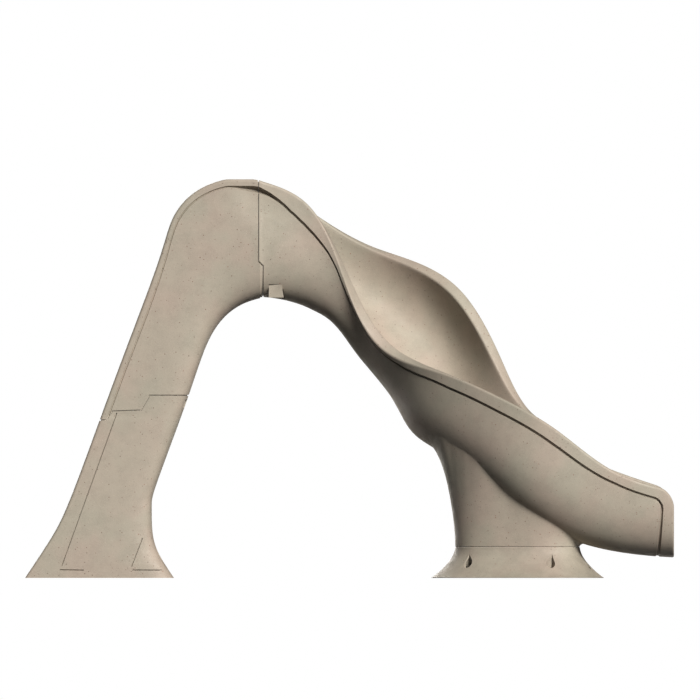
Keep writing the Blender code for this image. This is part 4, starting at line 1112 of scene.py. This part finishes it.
def plastic(name, colour, faded, rough):
    """A small moulded plastic part: fine spark-eroded grain, faded in patches, with a little dust."""
    r = Recipe(name)
    worn = r.spread(r.noise(60.0, 5.0, 0.7), 0.45, 0.75)
    dust = r.specks(900.0, 0.30, 0.25, (1.0, 2.0, 3.0))[0]
    colour = r.blend(dust, 0.25, r.blend(worn, 0.6, colour, faded), DUST)
    roughness = r.spread(worn, 0.0, 1.0, rough, rough + 0.18)
    return r.end(colour, roughness, r.bump(r.noise(700.0), 0.00015, 0.5))


def rubber(name):
    """Matte black hose with a faint woven print and grey dust."""
    r = Recipe(name)
    wave = r.node('TexWave', Vector=r.place, Scale=60.0, Distortion=1.5).outputs["Fac"]
    dust = r.spread(r.noise(45.0, 5.0, 0.7), 0.45, 0.75)
    colour = r.blend(dust, 0.35, (0.022, 0.022, 0.023), (0.12, 0.115, 0.105))
    return r.end(colour, r.spread(dust, 0.0, 1.0, 0.48, 0.75), r.bump(wave, 0.0003, 0.6))


def floor_material():
    r = Recipe("studio_floor")
    patches = r.spread(r.noise(1.3, 4.0, 0.6), 0.3, 0.7, 0.97, 1.0)
    colour = r.mix(patches, BLACK, (0.86, 0.86, 0.855))
    return r.end(colour, r.spread(patches, 0.97, 1.0, 0.75, 0.85), r.bump(r.noise(300.0), 0.0002, 0.3))


def paint(piece, finish):
    piece.data.materials.clear()
    piece.data.materials.append(finish)


def dress(shells, fasteners):
    """Every shell, fastener and carried-over node gets its material."""
    finishes = {
        "shell": sandstone("sandstone_moulding"),
        # the base's copy of the moulding's material is painted a little darker: painted shade
        "base": sandstone("sandstone_base_painted_shade", 0.05),
        "steel": metal("stainless_steel", (0.58, 0.57, 0.55), (0.34, 0.31, 0.28), 0.28, 0.52,
                       (1.0, 1.0, 0.08)),
        "brass": metal("cast_brass", (0.72, 0.50, 0.21), (0.36, 0.24, 0.11), 0.24, 0.50,
                       (0.1, 1.0, 1.0)),
        "grey_plastic": plastic("grey_plastic", (0.16, 0.165, 0.17), (0.27, 0.27, 0.265), 0.42),
        "blue_plastic": plastic("blue_plastic", (0.035, 0.120, 0.340), (0.100, 0.200, 0.390), 0.38),
        "hose": rubber("hose_rubber"),
    }
    for name, piece in shells.items():
        paint(piece, finishes["base" if name == "pedestal_base" else "shell"])
    for piece in fasteners:
        paint(piece, finishes["steel"])
    for name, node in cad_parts.items():
        if not node.hide_render:
            for material_slot in node.material_slots:
                material_slot.material = finishes[node_slot(name)]


def node_slot(name):
    """The finish of a CAD node that shows, from the words in its name."""
    if "handle" in name and "nut" not in name:
        return "blue_plastic"
    if "hose" in name:
        return "hose"
    if "nozzle" in name:
        return "grey_plastic"
    if "insert" in name or "fitting" in name or "valve" in name:
        return "brass"
    return "steel"


# ---- stage, light and camera
FLOOR_HALF, FLOOR_STEPS, FLOOR_Z = 14.0, 8, -0.0015


def make_stage():
    """A pale floor under the feet that throws no light back up, so the undersides stay deep."""
    half, steps = FLOOR_HALF, FLOOR_STEPS
    row = steps + 1
    vertices = [(-half + 2 * half * i / steps, -half + 2 * half * k / steps, FLOOR_Z)
                for i in range(row) for k in range(row)]
    faces = [(i * row + k, (i + 1) * row + k, (i + 1) * row + k + 1, i * row + k + 1)
             for i in range(steps) for k in range(steps)]
    floor = mesh_object("studio_ground", vertices, faces)
    paint(floor, floor_material())
    floor.visible_diffuse = False


# where each sun shines from, strength, spread in degrees, colour
KEY = ((0.46, -0.77, 0.45), 4.75, 20.0, (1.0, 0.983, 0.945))
FAR_SIDE = ((-0.45, 0.85, 0.26), 3.3, 50.0, (1.0, 0.983, 0.95))
FILL_LOW, FILL_HIGH = 0.034, 0.130
FILL_COLOUR = (0.93, 0.99, 1.06)
BACKDROP = 1.0
TONE = 0.80  # a slightly steeper tone curve than the plain one
VIEW_WIDTH = 3.965
VIEW_FROM = (0.003, -8.0, 1.291)


def make_sun(name, direction, strength, angle, colour):
    sun = bpy.data.lights.new(name, 'SUN')
    sun.energy = strength
    sun.angle = math.radians(angle)
    sun.color = colour
    linked(name, sun).rotation_euler = Vector(direction).to_track_quat('Z', 'Y').to_euler()


def make_light():
    """A soft key from the camera's side, a softer light for the far side, and a dim surround."""
    make_sun("key", *KEY)
    make_sun("far_side", *FAR_SIDE)
    world = bpy.data.worlds.new("studio")
    world.use_nodes = True
    bpy.context.scene.world = world
    w = Nodes(world.node_tree)
    w.tree.nodes.clear()
    height = w.axis(w.node('TexCoord').outputs["Generated"], "Z")
    glow = w.spread(height, -0.7, 0.9, FILL_LOW, FILL_HIGH, 'LINEAR')
    fill = w.node('Background', Color=FILL_COLOUR, Strength=glow)
    backdrop = w.node('Background', Color=WHITE, Strength=BACKDROP)
    mix = w.node('MixShader', Fac=w.node('LightPath').outputs["Is Camera Ray"])
    w.feed(mix.inputs[1], fill.outputs[0])
    w.feed(mix.inputs[2], backdrop.outputs[0])
    w.node('OutputWorld', Surface=mix.outputs[0])


def make_camera():
    """A level, square-on view from -Y: nothing in the photograph converges."""
    lens = bpy.data.cameras.new("view")
    lens.type = 'ORTHO'
    lens.ortho_scale = VIEW_WIDTH
    lens.clip_end = 60.0
    camera = linked("view", lens)
    camera.location = VIEW_FROM
    camera.rotation_euler = (math.pi / 2.0, 0.0, 0.0)
    bpy.context.scene.camera = camera
    bpy.context.scene.view_settings.view_transform = 'Standard'
    bpy.context.scene.view_settings.gamma = TONE


dress(make_shells(), make_fasteners())
make_stage()
make_light()
make_camera()
